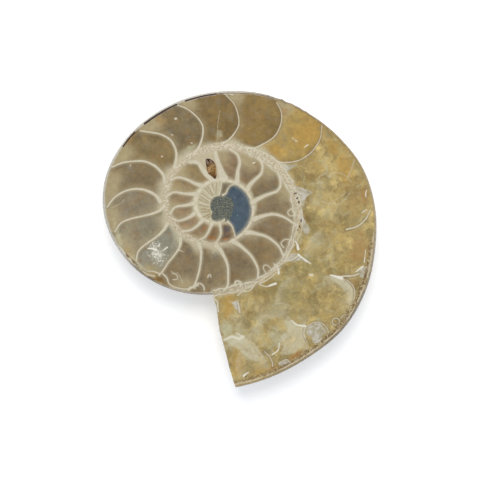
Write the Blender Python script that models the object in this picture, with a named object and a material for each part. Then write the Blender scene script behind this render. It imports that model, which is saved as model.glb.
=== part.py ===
"""A cut and polished half of an ammonite, lying on its back with the polished face up.

Run it with blender --background --python part.py, or from Blender's text editor.
Metres, +Z up. The origin is under the middle of the outline, where the back touches the ground.

Two objects:
  ammonite_half     the fossil, one solid: polished face, rim, broken aperture, ribbed back, umbilicus
  chamber_crystals  the crust of small crystals that lines the one open chamber

The shell is described by its whorl angle, in degrees. It starts at the aperture and is counted
counter-clockwise, seen from above, back towards the first chamber: 360 more is one whorl further in.
"""

import math

import bmesh
import bpy
from mathutils import Vector

MM = 0.001

# Place of the shell in the part's frame
SPIRAL_CENTRE = (-5.85, 10.69)
FACE_HEIGHT = 13.0

# Shell wall: (whorl angle, distance from the spiral centre in mm)
APERTURE_ANGLE = -85.7
WALL = [
    (-90, 60.9), (-75, 59.2), (-60, 57.9), (-45, 57.4), (-30, 55.5), (-15, 53.0), (0, 51.1),
    (15, 48.9), (30, 45.7), (45, 43.0), (60, 41.2), (90, 38.7), (120, 38.3), (150, 39.6),
    (168, 40.2), (186, 39.3), (210, 36.3), (240, 32.1), (270, 28.8), (300, 27.1), (330, 26.1),
    (360, 25.1), (390, 22.7), (420, 20.6), (450, 19.5), (480, 19.3), (510, 19.2), (540, 18.4),
    (570, 16.4), (600, 13.8), (630, 12.2), (660, 11.3), (690, 10.8), (720, 10.3), (750, 9.7),
    (780, 9.2), (810, 9.0), (840, 9.2), (870, 9.3), (900, 8.9), (930, 7.4), (960, 6.1),
    (990, 4.9),
]

# Half the width of the whorl, from the polished face down to the flank's crest: (whorl angle, mm)
HALF_WIDTH = [
    (-90, 13.0), (0, 12.9), (90, 12.7), (150, 12.5), (210, 11.4), (270, 9.0), (360, 7.8),
    (450, 6.8), (540, 5.9), (630, 4.8), (720, 4.0), (900, 3.2), (1000, 2.6),
]

# Umbilicus: where a whorl's flank ends on the whorl inside it, as a share of its wall's radius
UMBILICUS_SHARE = 0.24
CREST_SHARE = 0.66
SHOULDER_ROUNDNESS = 3.0

# Growth lines and aperture edge: (share of the whorl's radius, lean in degrees)
GROWTH_LINE = [
    (0.0, -8.0), (0.24, -9.2), (0.40, -10.6), (0.49, -10.3), (0.55, -7.6), (0.66, -5.6),
    (0.80, -2.9), (0.90, -1.4), (1.0, 0.0),
]
MERGE_START_ANGLE = 225.0

# Rim of the polished face
RIM_INSET = 0.45
RIM_DEPTH = 0.9

# Ribs on the flank
RIBS_PER_WHORL = 30
RIB_HEIGHT = 0.4
RIB_SICKLE = 5.0

# Resolution of the mesh
COLUMNS_PER_WHORL = 150
WHORLS_MODELLED = 3
OUTER_ROWS = 9
INNER_ROWS = 4
APERTURE_EDGE_POINTS = 8

# The open chamber: its mouth on the polished face, in mm from the spiral centre
CHAMBER_MOUTH = [
    (-5.4, 15.9), (-4.2, 16.1), (-2.9, 15.3), (-2.1, 14.0), (-1.9, 12.3), (-1.8, 10.4),
    (-2.3, 9.3), (-3.3, 10.1), (-4.4, 10.9), (-5.0, 12.1), (-5.3, 13.9),
]
# (depth, size against the mouth) down the chamber's wall
CHAMBER_RINGS = [(0.0, 1.0), (1.2, 1.06), (2.3, 0.95), (3.2, 0.68), (3.8, 0.3)]
CHAMBER_CUTTER_RISE = 2.0

# The crust of crystals in it: a lining that keeps clear of the chamber's wall
CRUST_GAP = 0.3
CRUST_TOP_DEPTH = 0.5
CRUST_THICKNESS = 0.35
CRYSTAL_LENGTH = 0.45
CRYSTALS_ROUND = 22
CRUST_ROWS = 5

FOSSIL_COLOUR = (0.36, 0.25, 0.12, 1.0)
CRYSTAL_COLOUR = (0.24, 0.12, 0.03, 1.0)


def clear_scene():
    for obj in list(bpy.data.objects):
        bpy.data.objects.remove(obj, do_unlink=True)


def new_collection(name):
    collection = bpy.data.collections.new(name)
    bpy.context.scene.collection.children.link(collection)
    return collection


def along(knots, x):
    """Smooth value at x of a curve through the (x, y) knots."""
    x = min(max(x, knots[0][0]), knots[-1][0])
    i = 0
    while i < len(knots) - 2 and x > knots[i + 1][0]:
        i += 1

    def slope(k):
        before, after = knots[max(k - 1, 0)], knots[min(k + 1, len(knots) - 1)]
        return (after[1] - before[1]) / (after[0] - before[0])

    (x0, y0), (x1, y1) = knots[i], knots[i + 1]
    step = x1 - x0
    t = (x - x0) / step
    return (
        y0 * (1 + 2 * t) * (1 - t) ** 2
        + slope(i) * step * t * (1 - t) ** 2
        + y1 * t * t * (3 - 2 * t)
        - slope(i + 1) * step * t * t * (1 - t)
    )


def smoothstep(t):
    t = min(max(t, 0.0), 1.0)
    return t * t * (3 - 2 * t)


def wall_radius(angle):
    return along(WALL, angle)


def half_width(angle):
    return along(HALF_WIDTH, angle)


def seam_radius(angle):
    """Where the flank ends on the whorl inside it."""
    return UMBILICUS_SHARE * wall_radius(angle)


def growth_scale(angle):
    """The radius that a growth line is scaled to. Near the aperture it takes the aperture's own."""
    share = smoothstep((angle - MERGE_START_ANGLE) / (APERTURE_ANGLE + 360 - MERGE_START_ANGLE))
    before_merge = wall_radius(angle)
    return before_merge + share * (wall_radius(angle - 360) - before_merge) if share else before_merge


def lean(angle, radius):
    """How far, in degrees, the growth line of this whorl angle has turned at this radius."""
    return along(GROWTH_LINE, radius / growth_scale(min(angle, APERTURE_ANGLE + 360)))


def at(angle, radius, depth):
    """A point of the shell as a vector in the part's frame, in metres."""
    turned = math.radians(angle + lean(angle, radius))
    return Vector((
        SPIRAL_CENTRE[0] + radius * math.cos(turned),
        SPIRAL_CENTRE[1] + radius * math.sin(turned),
        FACE_HEIGHT - depth,
    )) * MM


def rim_radius(angle):
    """Radius of the widest line, where this growth line reaches the outline."""
    radius = wall_radius(angle)
    for _ in range(4):
        radius = wall_radius(angle + lean(angle, radius))
    return radius


def rib_depth(angle, share):
    """Height of the ribs at a share of the way from the rim to the flank's crest."""
    wave = math.cos(math.radians(RIBS_PER_WHORL * (angle + RIB_SICKLE * math.sin(math.pi * share))))
    return RIB_HEIGHT * math.sin(math.pi * share) ** 1.5 * wave


def outer_section(angle):
    """(radius, depth) from the rim's widest line to the crest of the flank: a quarter ellipse."""
    outside = rim_radius(angle)
    reach = CREST_SHARE * (outside - seam_radius(angle))
    points = []
    for row in range(OUTER_ROWS + 1):
        turn = 0.5 * math.pi * row / OUTER_ROWS
        inward = 1 - math.cos(turn)
        depth = RIM_DEPTH + (half_width(angle) - RIM_DEPTH) * math.sin(turn)
        points.append((outside - reach * inward, depth + rib_depth(angle, inward)))
    return points


def inner_section(angle):
    """(radius, depth) from the crest over the umbilical shoulder to the seam: a superellipse."""
    seam = seam_radius(angle)
    if angle >= APERTURE_ANGLE + 360:
        crest = seam_radius(angle - 360)
    else:
        crest = rim_radius(angle) - CREST_SHARE * (rim_radius(angle) - seam)
    high, low = half_width(angle), half_width(angle + 360)
    power = 2 / SHOULDER_ROUNDNESS
    points = []
    for row in range(1, INNER_ROWS + 1):
        turn = 0.5 * math.pi * row / INNER_ROWS
        radius = crest + (seam - crest) * math.sin(turn) ** power
        points.append((radius, low + (high - low) * max(math.cos(turn), 0.0) ** power))
    return points


def shell_columns(bm):
    """Vertices of the back as a spiral ribbon: one column per growth line, rim first.

    From the second whorl on, a column starts at the crest of its flank, on the outer whorl's seam."""
    columns = []
    for number in range(COLUMNS_PER_WHORL * WHORLS_MODELLED + 1):
        angle = APERTURE_ANGLE + 360 * number / COLUMNS_PER_WHORL
        column = []
        if number <= COLUMNS_PER_WHORL:
            column.append(bm.verts.new(at(angle, rim_radius(angle) - RIM_INSET, 0)))
            outer = outer_section(angle)
            if number == COLUMNS_PER_WHORL:
                outer.pop()
            column += [bm.verts.new(at(angle, *point)) for point in outer]
        if number >= COLUMNS_PER_WHORL:
            column.append(columns[number - COLUMNS_PER_WHORL][-1])
        column += [bm.verts.new(at(angle, *point)) for point in inner_section(angle)]
        columns.append(column)
    return columns


def aperture_edge(bm):
    """The aperture's edge on the polished face, from the outside in, without its two ends."""
    outer = rim_radius(APERTURE_ANGLE) - RIM_INSET
    inner = rim_radius(APERTURE_ANGLE + 360) - RIM_INSET
    edge = []
    for step in range(1, APERTURE_EDGE_POINTS):
        radius = outer + (inner - outer) * step / APERTURE_EDGE_POINTS
        edge.append(bm.verts.new(at(APERTURE_ANGLE, radius, 0)))
    return edge


def fossil_mesh():
    """The closed surface of the half shell: ribbon, core, aperture wall and polished face."""
    bm = bmesh.new()
    columns = shell_columns(bm)
    for column, following in zip(columns, columns[1:]):
        shared = min(len(column), len(following))
        one, other = column[-shared:], following[-shared:]
        for row in range(shared - 1):
            bm.faces.new((one[row], other[row], other[row + 1], one[row + 1]))
    inner_whorl = columns[-COLUMNS_PER_WHORL - 1:]
    bm.faces.new([column[-1] for column in inner_whorl] + inner_whorl[-1][-2:0:-1])
    edge = aperture_edge(bm)
    first, last = columns[0], columns[COLUMNS_PER_WHORL]
    last_outer = last[:-INNER_ROWS - 1]
    wall = bm.faces.new(first + last_outer[::-1] + edge[::-1])
    face = bm.faces.new([column[0] for column in columns[:COLUMNS_PER_WHORL + 1]] + edge[::-1])
    bm.normal_update()
    bmesh.ops.triangulate(bm, faces=[wall, face], ngon_method="BEAUTY")
    bmesh.ops.recalc_face_normals(bm, faces=bm.faces)
    mesh = bpy.data.meshes.new("ammonite_half")
    bm.to_mesh(mesh)
    bm.free()
    return mesh


def chamber_ring(depth, size, inset=0.0):
    """The chamber's outline at this depth, in metres, drawn in by inset mm."""
    count = len(CHAMBER_MOUTH)
    middle = Vector((
        sum(x for x, _ in CHAMBER_MOUTH) / count,
        sum(y for _, y in CHAMBER_MOUTH) / count,
    ))
    ring = []
    for x, y in CHAMBER_MOUTH:
        from_middle = (Vector((x, y)) - middle) * size
        length = from_middle.length
        point = middle + from_middle * max(length - inset, 0.1 * length) / length
        ring.append(Vector((
            SPIRAL_CENTRE[0] + point.x, SPIRAL_CENTRE[1] + point.y, FACE_HEIGHT - depth,
        )) * MM)
    return ring


def loft(bm, rings, cap_first=True, cap_last=True):
    """Faces between rings of equally many points."""
    verts = [[bm.verts.new(point) for point in ring] for ring in rings]
    count = len(verts[0])
    for one, other in zip(verts, verts[1:]):
        for k in range(count):
            following = (k + 1) % count
            bm.faces.new((one[k], one[following], other[following], other[k]))
    if cap_first:
        bm.faces.new(verts[0])
    if cap_last:
        bm.faces.new(verts[-1])


def chamber_cutter(collection):
    """The hollow of the open chamber, as a solid that rises out of the polished face."""
    bm = bmesh.new()
    rings = [chamber_ring(-CHAMBER_CUTTER_RISE, 1.0)]
    rings += [chamber_ring(depth, size) for depth, size in CHAMBER_RINGS]
    loft(bm, rings)
    bmesh.ops.recalc_face_normals(bm, faces=bm.faces)
    mesh = bpy.data.meshes.new("open_chamber_cutter")
    bm.to_mesh(mesh)
    bm.free()
    cutter = bpy.data.objects.new("open_chamber_cutter", mesh)
    collection.objects.link(cutter)
    cutter.hide_render = True
    cutter.display_type = "WIRE"
    return cutter


def resampled(ring, count):
    """count points evenly spaced along a closed ring."""
    lengths = [(b - a).length for a, b in zip(ring, ring[1:] + ring[:1])]
    whole = sum(lengths)
    points = []
    for k in range(count):
        left = whole * k / count
        i = 0
        while left > lengths[i]:
            left -= lengths[i]
            i += 1
        points.append(ring[i].lerp(ring[(i + 1) % len(ring)], left / lengths[i]))
    return points


def chamber_size(depth):
    return along(CHAMBER_RINGS, depth)


def crust_mesh():
    """A cup that follows the chamber's wall, its inner side drawn out into crystal points."""
    deepest = CHAMBER_RINGS[-1][0] - CRUST_GAP
    outer, inner = [], []
    for row in range(CRUST_ROWS):
        share = row / (CRUST_ROWS - 1)
        depth = CRUST_TOP_DEPTH + (deepest - CRUST_TOP_DEPTH) * math.sin(0.5 * math.pi * share)
        ring = chamber_ring(depth, chamber_size(depth), CRUST_GAP)
        outer.append(resampled(ring, CRYSTALS_ROUND))
        middle = sum(outer[-1], Vector()) / CRYSTALS_ROUND
        lifted = []
        for k, point in enumerate(outer[-1]):
            pointed = (k + row) % 2 == 0 and row > 0
            thickness = CRUST_THICKNESS + (CRYSTAL_LENGTH if pointed else 0.0)
            towards = middle - point
            flat = point + towards * min(thickness * MM / towards.length, 0.6)
            lifted.append(flat + Vector((0, 0, thickness * MM * share)))
        inner.append(lifted)
    bm = bmesh.new()
    loft(bm, outer[::-1] + inner)
    bmesh.ops.recalc_face_normals(bm, faces=bm.faces)
    mesh = bpy.data.meshes.new("chamber_crystals")
    bm.to_mesh(mesh)
    bm.free()
    return mesh


def material(name, colour, roughness):
    made = bpy.data.materials.new(name)
    made.use_nodes = True
    shader = made.node_tree.nodes["Principled BSDF"]
    shader.inputs["Base Color"].default_value = colour
    shader.inputs["Roughness"].default_value = roughness
    shader.inputs["Metallic"].default_value = 0.0
    return made


def add_part(name, mesh, look, collection):
    part = bpy.data.objects.new(name, mesh)
    collection.objects.link(part)
    mesh.materials.append(look)
    mesh.shade_smooth()
    mesh.set_sharp_from_angle(angle=math.radians(35))
    return part


def main():
    clear_scene()
    parts = new_collection("Ammonite")
    cutters = new_collection("Cutters")
    fossil = add_part(
        "ammonite_half", fossil_mesh(), material("polished_calcite", FOSSIL_COLOUR, 0.15), parts)
    cut = fossil.modifiers.new("open_chamber", "BOOLEAN")
    cut.operation = "DIFFERENCE"
    cut.object = chamber_cutter(cutters)
    add_part(
        "chamber_crystals", crust_mesh(), material("amber_crystals", CRYSTAL_COLOUR, 0.2), parts)


main()
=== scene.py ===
"""The looks of a cut and polished ammonite half, laid over the solids of part.py.

One fine mesh stands for the fossil's solid and one for the crust of crystals in its open chamber.
Both come from the same shell formulas as the solids. Lengths are in mm until a mesh is made.

The polished face is a flat net of triangles whose edges follow every line in the fossil: septa, whorl
walls, cracks. Its corners carry the distances to those lines, and the material turns the distances
into colours, with noise for the mineral. A whorl angle is in degrees: it starts at the aperture and
is counted counter-clockwise, seen from above, 360 more for each whorl further in. Places in the face
are in mm from the spiral's centre.
"""

import math

import bpy
import numpy as np
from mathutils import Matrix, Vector, geometry, noise


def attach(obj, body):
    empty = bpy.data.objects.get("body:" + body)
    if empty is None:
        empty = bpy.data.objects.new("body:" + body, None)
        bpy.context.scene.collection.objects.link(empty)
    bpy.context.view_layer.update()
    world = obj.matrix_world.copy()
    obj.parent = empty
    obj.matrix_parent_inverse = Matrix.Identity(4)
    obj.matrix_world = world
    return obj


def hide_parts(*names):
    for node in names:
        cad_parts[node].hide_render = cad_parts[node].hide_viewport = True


MM = 0.001

# The shell, as in part.py. The curves are given by knots: whorl angle and radius of the outer wall, whorl
# angle and half-width, share of the radius and lean of the growth lines, depth and size of the chamber.
SPIRAL_CENTRE = np.array((-5.85, 10.69))
FACE_HEIGHT = 13.0
APERTURE_ANGLE = -85.7
WALL = [
    (-90, 60.9), (-75, 59.2), (-60, 57.9), (-45, 57.4), (-30, 55.5), (-15, 53), (0, 51.1), (15, 48.9),
    (30, 45.7), (45, 43), (60, 41.2), (90, 38.7), (120, 38.3), (150, 39.6), (168, 40.2), (186, 39.3),
    (210, 36.3), (240, 32.1), (270, 28.8), (300, 27.1), (330, 26.1), (360, 25.1), (390, 22.7), (420, 20.6),
    (450, 19.5), (480, 19.3), (510, 19.2), (540, 18.4), (570, 16.4), (600, 13.8), (630, 12.2), (660, 11.3),
    (690, 10.8), (720, 10.3), (750, 9.7), (780, 9.2), (810, 9), (840, 9.2), (870, 9.3), (900, 8.9),
    (930, 7.4), (960, 6.1), (990, 4.9),
]
HALF_WIDTH = [
    (-90, 13), (0, 12.9), (90, 12.7), (150, 12.5), (210, 11.4), (270, 9), (360, 7.8), (450, 6.8),
    (540, 5.9), (630, 4.8), (720, 4), (900, 3.2), (1000, 2.6),
]
UMBILICUS_SHARE = 0.24
CREST_SHARE = 0.66
SHOULDER_ROUNDNESS = 3.0
GROWTH_LINE = [
    (0, -8), (0.24, -9.2), (0.4, -10.6), (0.49, -10.3), (0.55, -7.6), (0.66, -5.6), (0.8, -2.9),
    (0.9, -1.4), (1, 0),
]
MERGE_START_ANGLE = 225.0
RIM_INSET = 0.45
RIM_DEPTH = 0.9
RIBS_PER_WHORL = 30
RIB_HEIGHT = 0.4
RIB_SICKLE = 5.0
CHAMBER_MOUTH = [
    (-5.4, 15.9), (-4.2, 16.1), (-2.9, 15.3), (-2.1, 14), (-1.9, 12.3), (-1.8, 10.4), (-2.3, 9.3),
    (-3.3, 10.1), (-4.4, 10.9), (-5, 12.1), (-5.3, 13.9),
]
CHAMBER_RINGS = [(0.0, 1.0), (1.2, 1.06), (2.3, 0.95), (3.2, 0.68), (3.8, 0.3)]

# Resolution of the fine mesh
COLUMNS_PER_WHORL = 540
WHORLS_MODELLED = 3
OUTER_ROWS = 34
INNER_ROWS = 12
CHAMBER_ROWS = 11
APERTURE_EDGE_STEP = 0.4
FACE_STEP = 0.46
LINE_STEP = 0.4
MARK_STEP = 0.3
FLAKE_STEP = 0.5
LINE_CLEARANCE = 0.22
FLOOR_CLEARANCE = 0.01
SMOOTH_BELOW = math.radians(38)

# Distances past this one are cut off, this depth stands for far outside a drawn layer, and these are the
# first whorl angle that is counted and one past all septa
FAR = 12.0
OUTSIDE = -3.0
LOWEST_ANGLE = -96
PAST_ALL_SEPTA = 1400.0

# Worn and broken surfaces: height in mm, size in mm and seed of each kind of roughness. The knobs sit
# around one whorl angle, with a reach in degrees. The edge at the aperture is moved along x and y.
KNOBS = ((0.4, 1.5, 5.0),)
KNOBBLY_RIM = (60, 14)
RIM_WEAR = ((0.07, 1.3, 0.0), (0.10, 3.5, 7.0))
EDGE_WEAR = ((0.12, 1.5, 3.0), (0.12, 1.5, 9.0))
BACK_WEAR = ((0.045, 2.2, 1.0), (0.0225, 0.8, 2.0))
BACK_WEAR_DEPTH = 4.0
APERTURE_BUMPS = ((0.35, 3.0, 4.0), (0.18, 1.0, 6.0))
APERTURE_CLEARANCE = 0.3
CHAMBER_WEAR = ((0.06, 0.7, 0.0),)

# Septa, the chamber walls: width of the line, then whorl angle and radius by turns, from the outer end in
SEPTA = [
    (0.34, 40, 43.6, 35, 40, 32, 36, 31, 32.5, 31.6, 29.3, 34, 26.6, 39, 24, 46, 23.6),
    (0.4, 62.5, 39.3, 58, 37.3, 55, 34.4, 53.4, 30.6, 54, 28, 57, 25, 61, 22.6, 67, 21.3),
    (0.42, 88, 37.3, 83.5, 34.7, 80, 31, 78.5, 28, 80, 25.3, 84, 22.7, 89, 21.3),
    (0.62, 114, 37.3, 110, 35, 106, 31.6, 103.5, 28.3, 104, 26, 107, 23.3, 112, 21.2, 118, 20),
    (0.8, 137, 37.3, 134, 34.7, 130, 31.6, 127.6, 28.3, 128, 26, 130, 23.7, 134, 22, 140, 20.7),
    (0.85, 160, 39, 156, 36.3, 152, 32.6, 149.5, 30, 148.5, 26.7, 149.6, 24, 152, 22, 157, 20.7),
    (0.9, 180, 38.3, 175, 36, 171, 33, 168.5, 30, 167.5, 26.7, 168.5, 24, 170.5, 22.2, 175, 20.7),
    (0.8, 193, 36.7, 189, 34, 187.4, 30.7, 186.5, 26.7, 185.4, 23.3, 183, 20.7, 179, 19.3),
    (0.85, 212, 33.7, 208, 31.6, 206, 28.3, 205, 25, 203.5, 22.7, 201, 20.7, 197, 19),
    (0.8, 227.4, 31, 227, 28.3, 226, 26, 225.5, 23.3, 224.4, 20.7, 222, 18.7, 217, 17.3),
    (0.85, 248, 30, 250.4, 27.5, 250.6, 24, 249.5, 20.7, 247.5, 18.3, 244, 16, 238, 14.5),
    (1.05, 271, 28, 274, 26.3, 275, 23.3, 275.5, 20, 274, 17.7, 271, 15.7, 267, 14, 261, 13),
    (1.1, 297, 26.3, 300, 24, 301, 20.7, 300.5, 18.3, 298, 16, 294, 13.7, 288, 12),
    (1.15, 322, 25.7, 325, 23.3, 326.5, 20, 326, 17.3, 323, 15, 319, 13, 313, 11.6),
    (1.15, 346, 25.3, 349, 22.7, 351.4, 20, 352, 17.3, 350, 15.3, 346, 13.3, 339, 11.3),
    (1.15, 392, 21.9, 386, 21.5, 380, 20.7, 376.4, 19.3, 375.5, 17.3, 375, 15.3, 373, 12.7, 369, 10.3),
    (1.2, 414, 20.6, 407, 19.6, 402, 18, 400, 16.6, 399.6, 14, 398.5, 12, 395, 10.4),
    (1.25, 442, 19.4, 434, 18.3, 429.5, 16.7, 427.5, 15.3, 426.4, 13.3, 423, 11.3, 419, 9.7),
    (2.2, 457, 18.4, 456, 16, 454, 14, 451.5, 12, 447, 9.7),
    (2, 486, 18.6, 479, 17, 477.6, 15.7, 477.4, 14, 475, 12, 468, 10.2),
    (1.1, 512, 19.3, 506.5, 17.8, 503.4, 16, 501, 14, 499, 12, 494, 9.8),
    (1, 529, 18.7, 524, 17.3, 522, 16, 521, 14, 518.6, 12, 514, 9.9),
    (1, 547, 17.3, 541, 16, 539, 14.7, 538, 13, 536.4, 11.3, 533, 9.7),
    (1, 553, 17, 557.4, 15.3, 558, 13.3, 557, 11.3, 554, 9.7),
    (1, 571, 15.5, 575.4, 13.6, 577, 12, 577, 10, 574, 7.8),
    (0.95, 596, 13, 600, 11.7, 601.4, 10, 600.4, 8, 599, 6.3),
    (0.85, 621, 12, 624.4, 10.6, 627.5, 9.2, 627.5, 8, 625, 6.7, 622, 5.4),
    (0.45, 653.6, 11.1, 656, 8.9, 657.3, 7, 652, 5.2),
    (0.4, 781.5, 8.8, 789, 7.5, 792.7, 6, 794.5, 4.7, 806, 4),
    (0.45, 810.7, 8.5, 812.6, 6.6, 823, 4.3),
]

# What fills each chamber, as seen: from the body chamber in, one more than there are septa
CHAMBER_COLOURS = [
    (183, 162, 109), (184, 156, 92), (146, 122, 75), (135, 113, 72), (132, 116, 84), (142, 122, 84),
    (138, 121, 91), (150, 137, 112), (156, 146, 120), (150, 146, 128), (144, 127, 98), (142, 126, 96),
    (138, 121, 92), (144, 124, 90), (141, 121, 91), (141, 124, 95), (139, 122, 94), (142, 121, 93),
    (146, 124, 97), (204, 191, 160), (157, 136, 96), (162, 140, 102), (161, 138, 106), (162, 140, 108),
    (166, 140, 109), (153, 131, 99), (140, 112, 80), (122, 96, 74), (89, 102, 110), (128, 114, 92),
    (204, 195, 165),
]
BODY_CHAMBER = 0
FIRST_INNER_CHAMBER = 15
PLAIN_CHAMBERS = (19, 29, 30)
SLATE_CHAMBER = 28

# How far the pale corner at a chamber's foot and outer end comes forward in mm, and how strong it is at
# the outer end and at the foot
PLAIN_CORNER = (0.0, 1.0, 1.0)
CORNERS = {
    3: (0.0, 1.0, 0.5), 4: (1.6, 1.2, 1.0), 5: (1.4, 1.2, 1.0), 6: (4.0, 1.3, 1.0), 8: (0.8, 1.0, 1.0),
    11: (0.0, 0.25, 1.0), 12: (0.4, 0.3, 0.45), 13: (0.0, 0.25, 0.35), 14: (0.0, 0.25, 0.5),
    15: (1.6, 1.0, 1.0), 16: (1.8, 1.0, 1.0), 17: (3.6, 1.3, 0.8), 18: (1.6, 1.0, 0.5),
}

# Bands of shell between the whorls: (whorl angle of the wall, inner edge, outer edge)
SHELL_BAND = [
    (262, 28.2, 30.6), (270, 27.2, 29), (280, 26.4, 28.6), (300, 26.8, 27.6), (320, 26.3, 27.4),
    (335, 25.2, 26.3), (350, 24.6, 25.9), (362, 23.4, 26.4), (372, 23.2, 25.3), (380, 22.4, 24.7),
    (390, 21.9, 24.4), (400, 20.9, 23.9), (410, 20.2, 23.2), (420, 19.8, 22.2), (430, 19.5, 21.6),
    (450, 19, 21.5), (470, 19, 20.9), (490, 18.9, 20.6), (510, 18.9, 20.7), (520, 18.5, 20.3),
    (540, 17.8, 19.5), (550, 17, 18.8), (560, 16.1, 17.6), (570, 15.5, 17.1), (580, 14.3, 16),
    (600, 12.8, 14.2), (620, 12, 13), (640, 11.7, 12.3), (660, 10.9, 11.6), (690, 10.5, 11.05),
    (720, 10, 10.6), (750, 9.45, 10), (780, 8.8, 9.4), (800, 8.5, 9.4), (840, 8.9, 9.7), (880, 8.7, 9.8),
    (910, 8, 9.1), (930, 7, 8), (950, 6.2, 6.7), (975, 5.2, 5.7), (1000, 4.3, 4.7), (1028, 3.8, 4.1),
]
BAND_RANGE = (262, 1006)
SMOOTH_WALL_ANGLE = 640

# The lace along both edges of the band: whorl angles, (edge, width of the line), height and size of lobes
LACE_RANGE = (264, 424)
LACE_WIDTHS = ((1, 0.42), (2, 0.26))
LACE_LOBES = (0.5, 1.6)

# Soft patches of each kind: (angle, radius, half-length along the whorl, half-length across, strength),
# and how quickly they fade
PATCHES = {
    "gold": [
        (40, 37.5, 5, 7, 1), (46, 26, 4, 3, 0.7), (-22, 47, 5, 4, 0.5), (34, 32, 2, 4, 0.6),
        (28, 42, 5, 3, 0.8), (18, 43, 8, 4, 0.8), (24, 34, 6, 5, 0.5), (-1.2, 37.3, 1.8, 1.2, 0.8),
        (-14, 42, 5, 5, 0.4), (-86, 34, 3, 8, 0.9), (-84, 52, 3, 7, 0.8), (-76, 56.5, 5, 1.8, 0.8),
        (-77, 36, 3, 5, 0.3), (143, 38.2, 3, 1.3, 0.5), (226, 32, 4.5, 1.6, 0.7),
    ],
    "rust": [
        (57, 38, 2, 2, 0.6), (4, 47.8, 5, 2, 0.6), (12, 46.5, 4, 2.2, 0.4), (9, 40, 3, 6, 0.3),
        (-11, 47, 2.5, 2, 0.5), (-63, 55.5, 5, 1.3, 0.9), (-72, 56, 3, 1.1, 0.6), (66, 33, 3, 3, 0.35),
        (71, 29, 4, 3, 0.3), (88, 33, 2.4, 2.2, 0.35), (230, 9.4, 1, 1.6, 0.7), (252, 11, 2.2, 1.1, 0.75),
        (276, 10.8, 2.3, 0.8, 0.75), (187, 13.8, 1, 1.8, 0.5), (207, 13, 1, 1.6, 0.4),
        (130, 14, 1.2, 1.6, 0.35), (150, 14, 1.2, 1.6, 0.35), (171, 14, 1, 1.6, 0.4),
        (52, 18, 1.6, 1.2, 0.5), (92, 17.6, 1.6, 1.6, 0.35), (185, 5.8, 0.5, 0.9, 0.6),
        (197, 5.7, 0.45, 0.8, 0.7), (208, 5.4, 0.4, 0.7, 0.7), (128, 7.2, 0.5, 1.2, 0.35),
        (60, 42, 1.5, 1.2, 0.3),
    ],
    "olive": [
        (-38, 38, 13, 10, 0.45), (-12, 30, 7, 3.5, 0.45), (-50, 44, 9, 8, 0.4), (-66, 30, 7, 3, 0.4),
        (20, 29, 7, 3.5, 0.4), (-35, 34, 8, 6, 0.55), (-55, 32, 7, 4, 0.6), (-30, 43, 6, 4, 0.5),
        (-62, 38, 6, 4, 0.5), (-52, 36, 8, 6, 0.6), (-44, 31, 6, 4, 0.5),
    ],
    "umber": [
        (-42, 45, 6, 5, 0.5), (19, 31, 2.4, 4.2, 0.6), (26, 28.6, 2.4, 3, 0.55), (17, 34, 1.6, 2.4, 0.45),
        (21, 27, 3.4, 1.8, 0.6), (-8, 29, 2.2, 2, 0.8), (-18, 27.5, 1.3, 1.2, 0.7), (-3, 27, 1.5, 1.4, 0.5),
        (-44, 42, 6, 4, 0.45), (-48, 47, 4, 3, 0.35), (-70, 57, 7, 0.9, 0.6), (-30.5, 51.6, 3.5, 1.5, 0.6),
        (228.4, 31.8, 2.6, 1.1, 1), (212, 35.2, 1.3, 0.6, 0.9), (205, 36, 1, 0.6, 0.8),
        (216, 34.3, 0.8, 0.6, 0.6),
    ],
    "amber": [
        (-30, 50, 4, 3, 0.6), (3, 44, 6, 4, 0.6), (-17, 48, 6.5, 4.2, 0.9), (125, 35.5, 3.2, 3.2, 0.6),
        (85, 34, 2.2, 2.4, 0.5), (101, 33, 1.6, 3, 0.3), (206, 34.6, 4, 1.7, 0.6),
    ],
    "pale": [
        (-61, 38, 8, 6, 0.55), (-82, 42, 4, 7, 0.6), (10, 33, 6, 3.4, 0.4), (-2, 36, 5, 5, 0.5),
        (-20, 34, 4, 3.5, 0.6), (3, 31, 4, 3, 0.5), (-67, 47, 3.5, 5, 0.7), (-74, 44, 3, 5, 0.6),
        (-84, 44, 6, 2, 1), (-60, 45, 3, 3, 0.6), (-71, 40, 4, 3, 0.6), (-80, 50, 4, 5, 0.5),
        (-72, 51.5, 4, 2.5, 0.45), (-84, 37, 3, 3, 0.6), (-87.5, 40.5, 3, 3.5, 1), (92, 24, 1.6, 2.2, 0.7),
        (118, 22.3, 3, 1.5, 0.75), (198, 35.9, 7, 1.6, 0.75), (213, 34.2, 5, 1.3, 0.8),
    ],
    # A cluster of painted sparkles: highlights on small crystals.
    "sparkle": [
        (216, 26.6, 4.6, 2.8, 1),
    ],
    "slate": [
        (216, 25.4, 5, 3, 0.2), (233, 18.5, 1.6, 2.2, 0.55), (262, 16.4, 1.8, 2.2, 0.6),
        (286, 15.3, 1.8, 2.4, 0.4), (310, 14.8, 1.6, 2, 0.3), (283, 7.6, 2.2, 1.4, 0.9),
        (250, 7.8, 1.2, 1, 0.4),
    ],
    "speck": [
        (116, 24, 3.2, 2.6, 1), (113, 32, 3, 2, 0.7), (-32, 14, 6, 2, 0.9), (10, 13, 4, 2, 0.7),
    ],
    "grey": [
        (97, 25.5, 2.6, 2.6, 0.35), (157, 33.5, 1.2, 2.2, 0.6), (190, 26, 1.4, 3, 0.6),
        (196, 31, 1.2, 2.4, 0.4),
    ],
}
PATCH_FALL = 1.1
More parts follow.
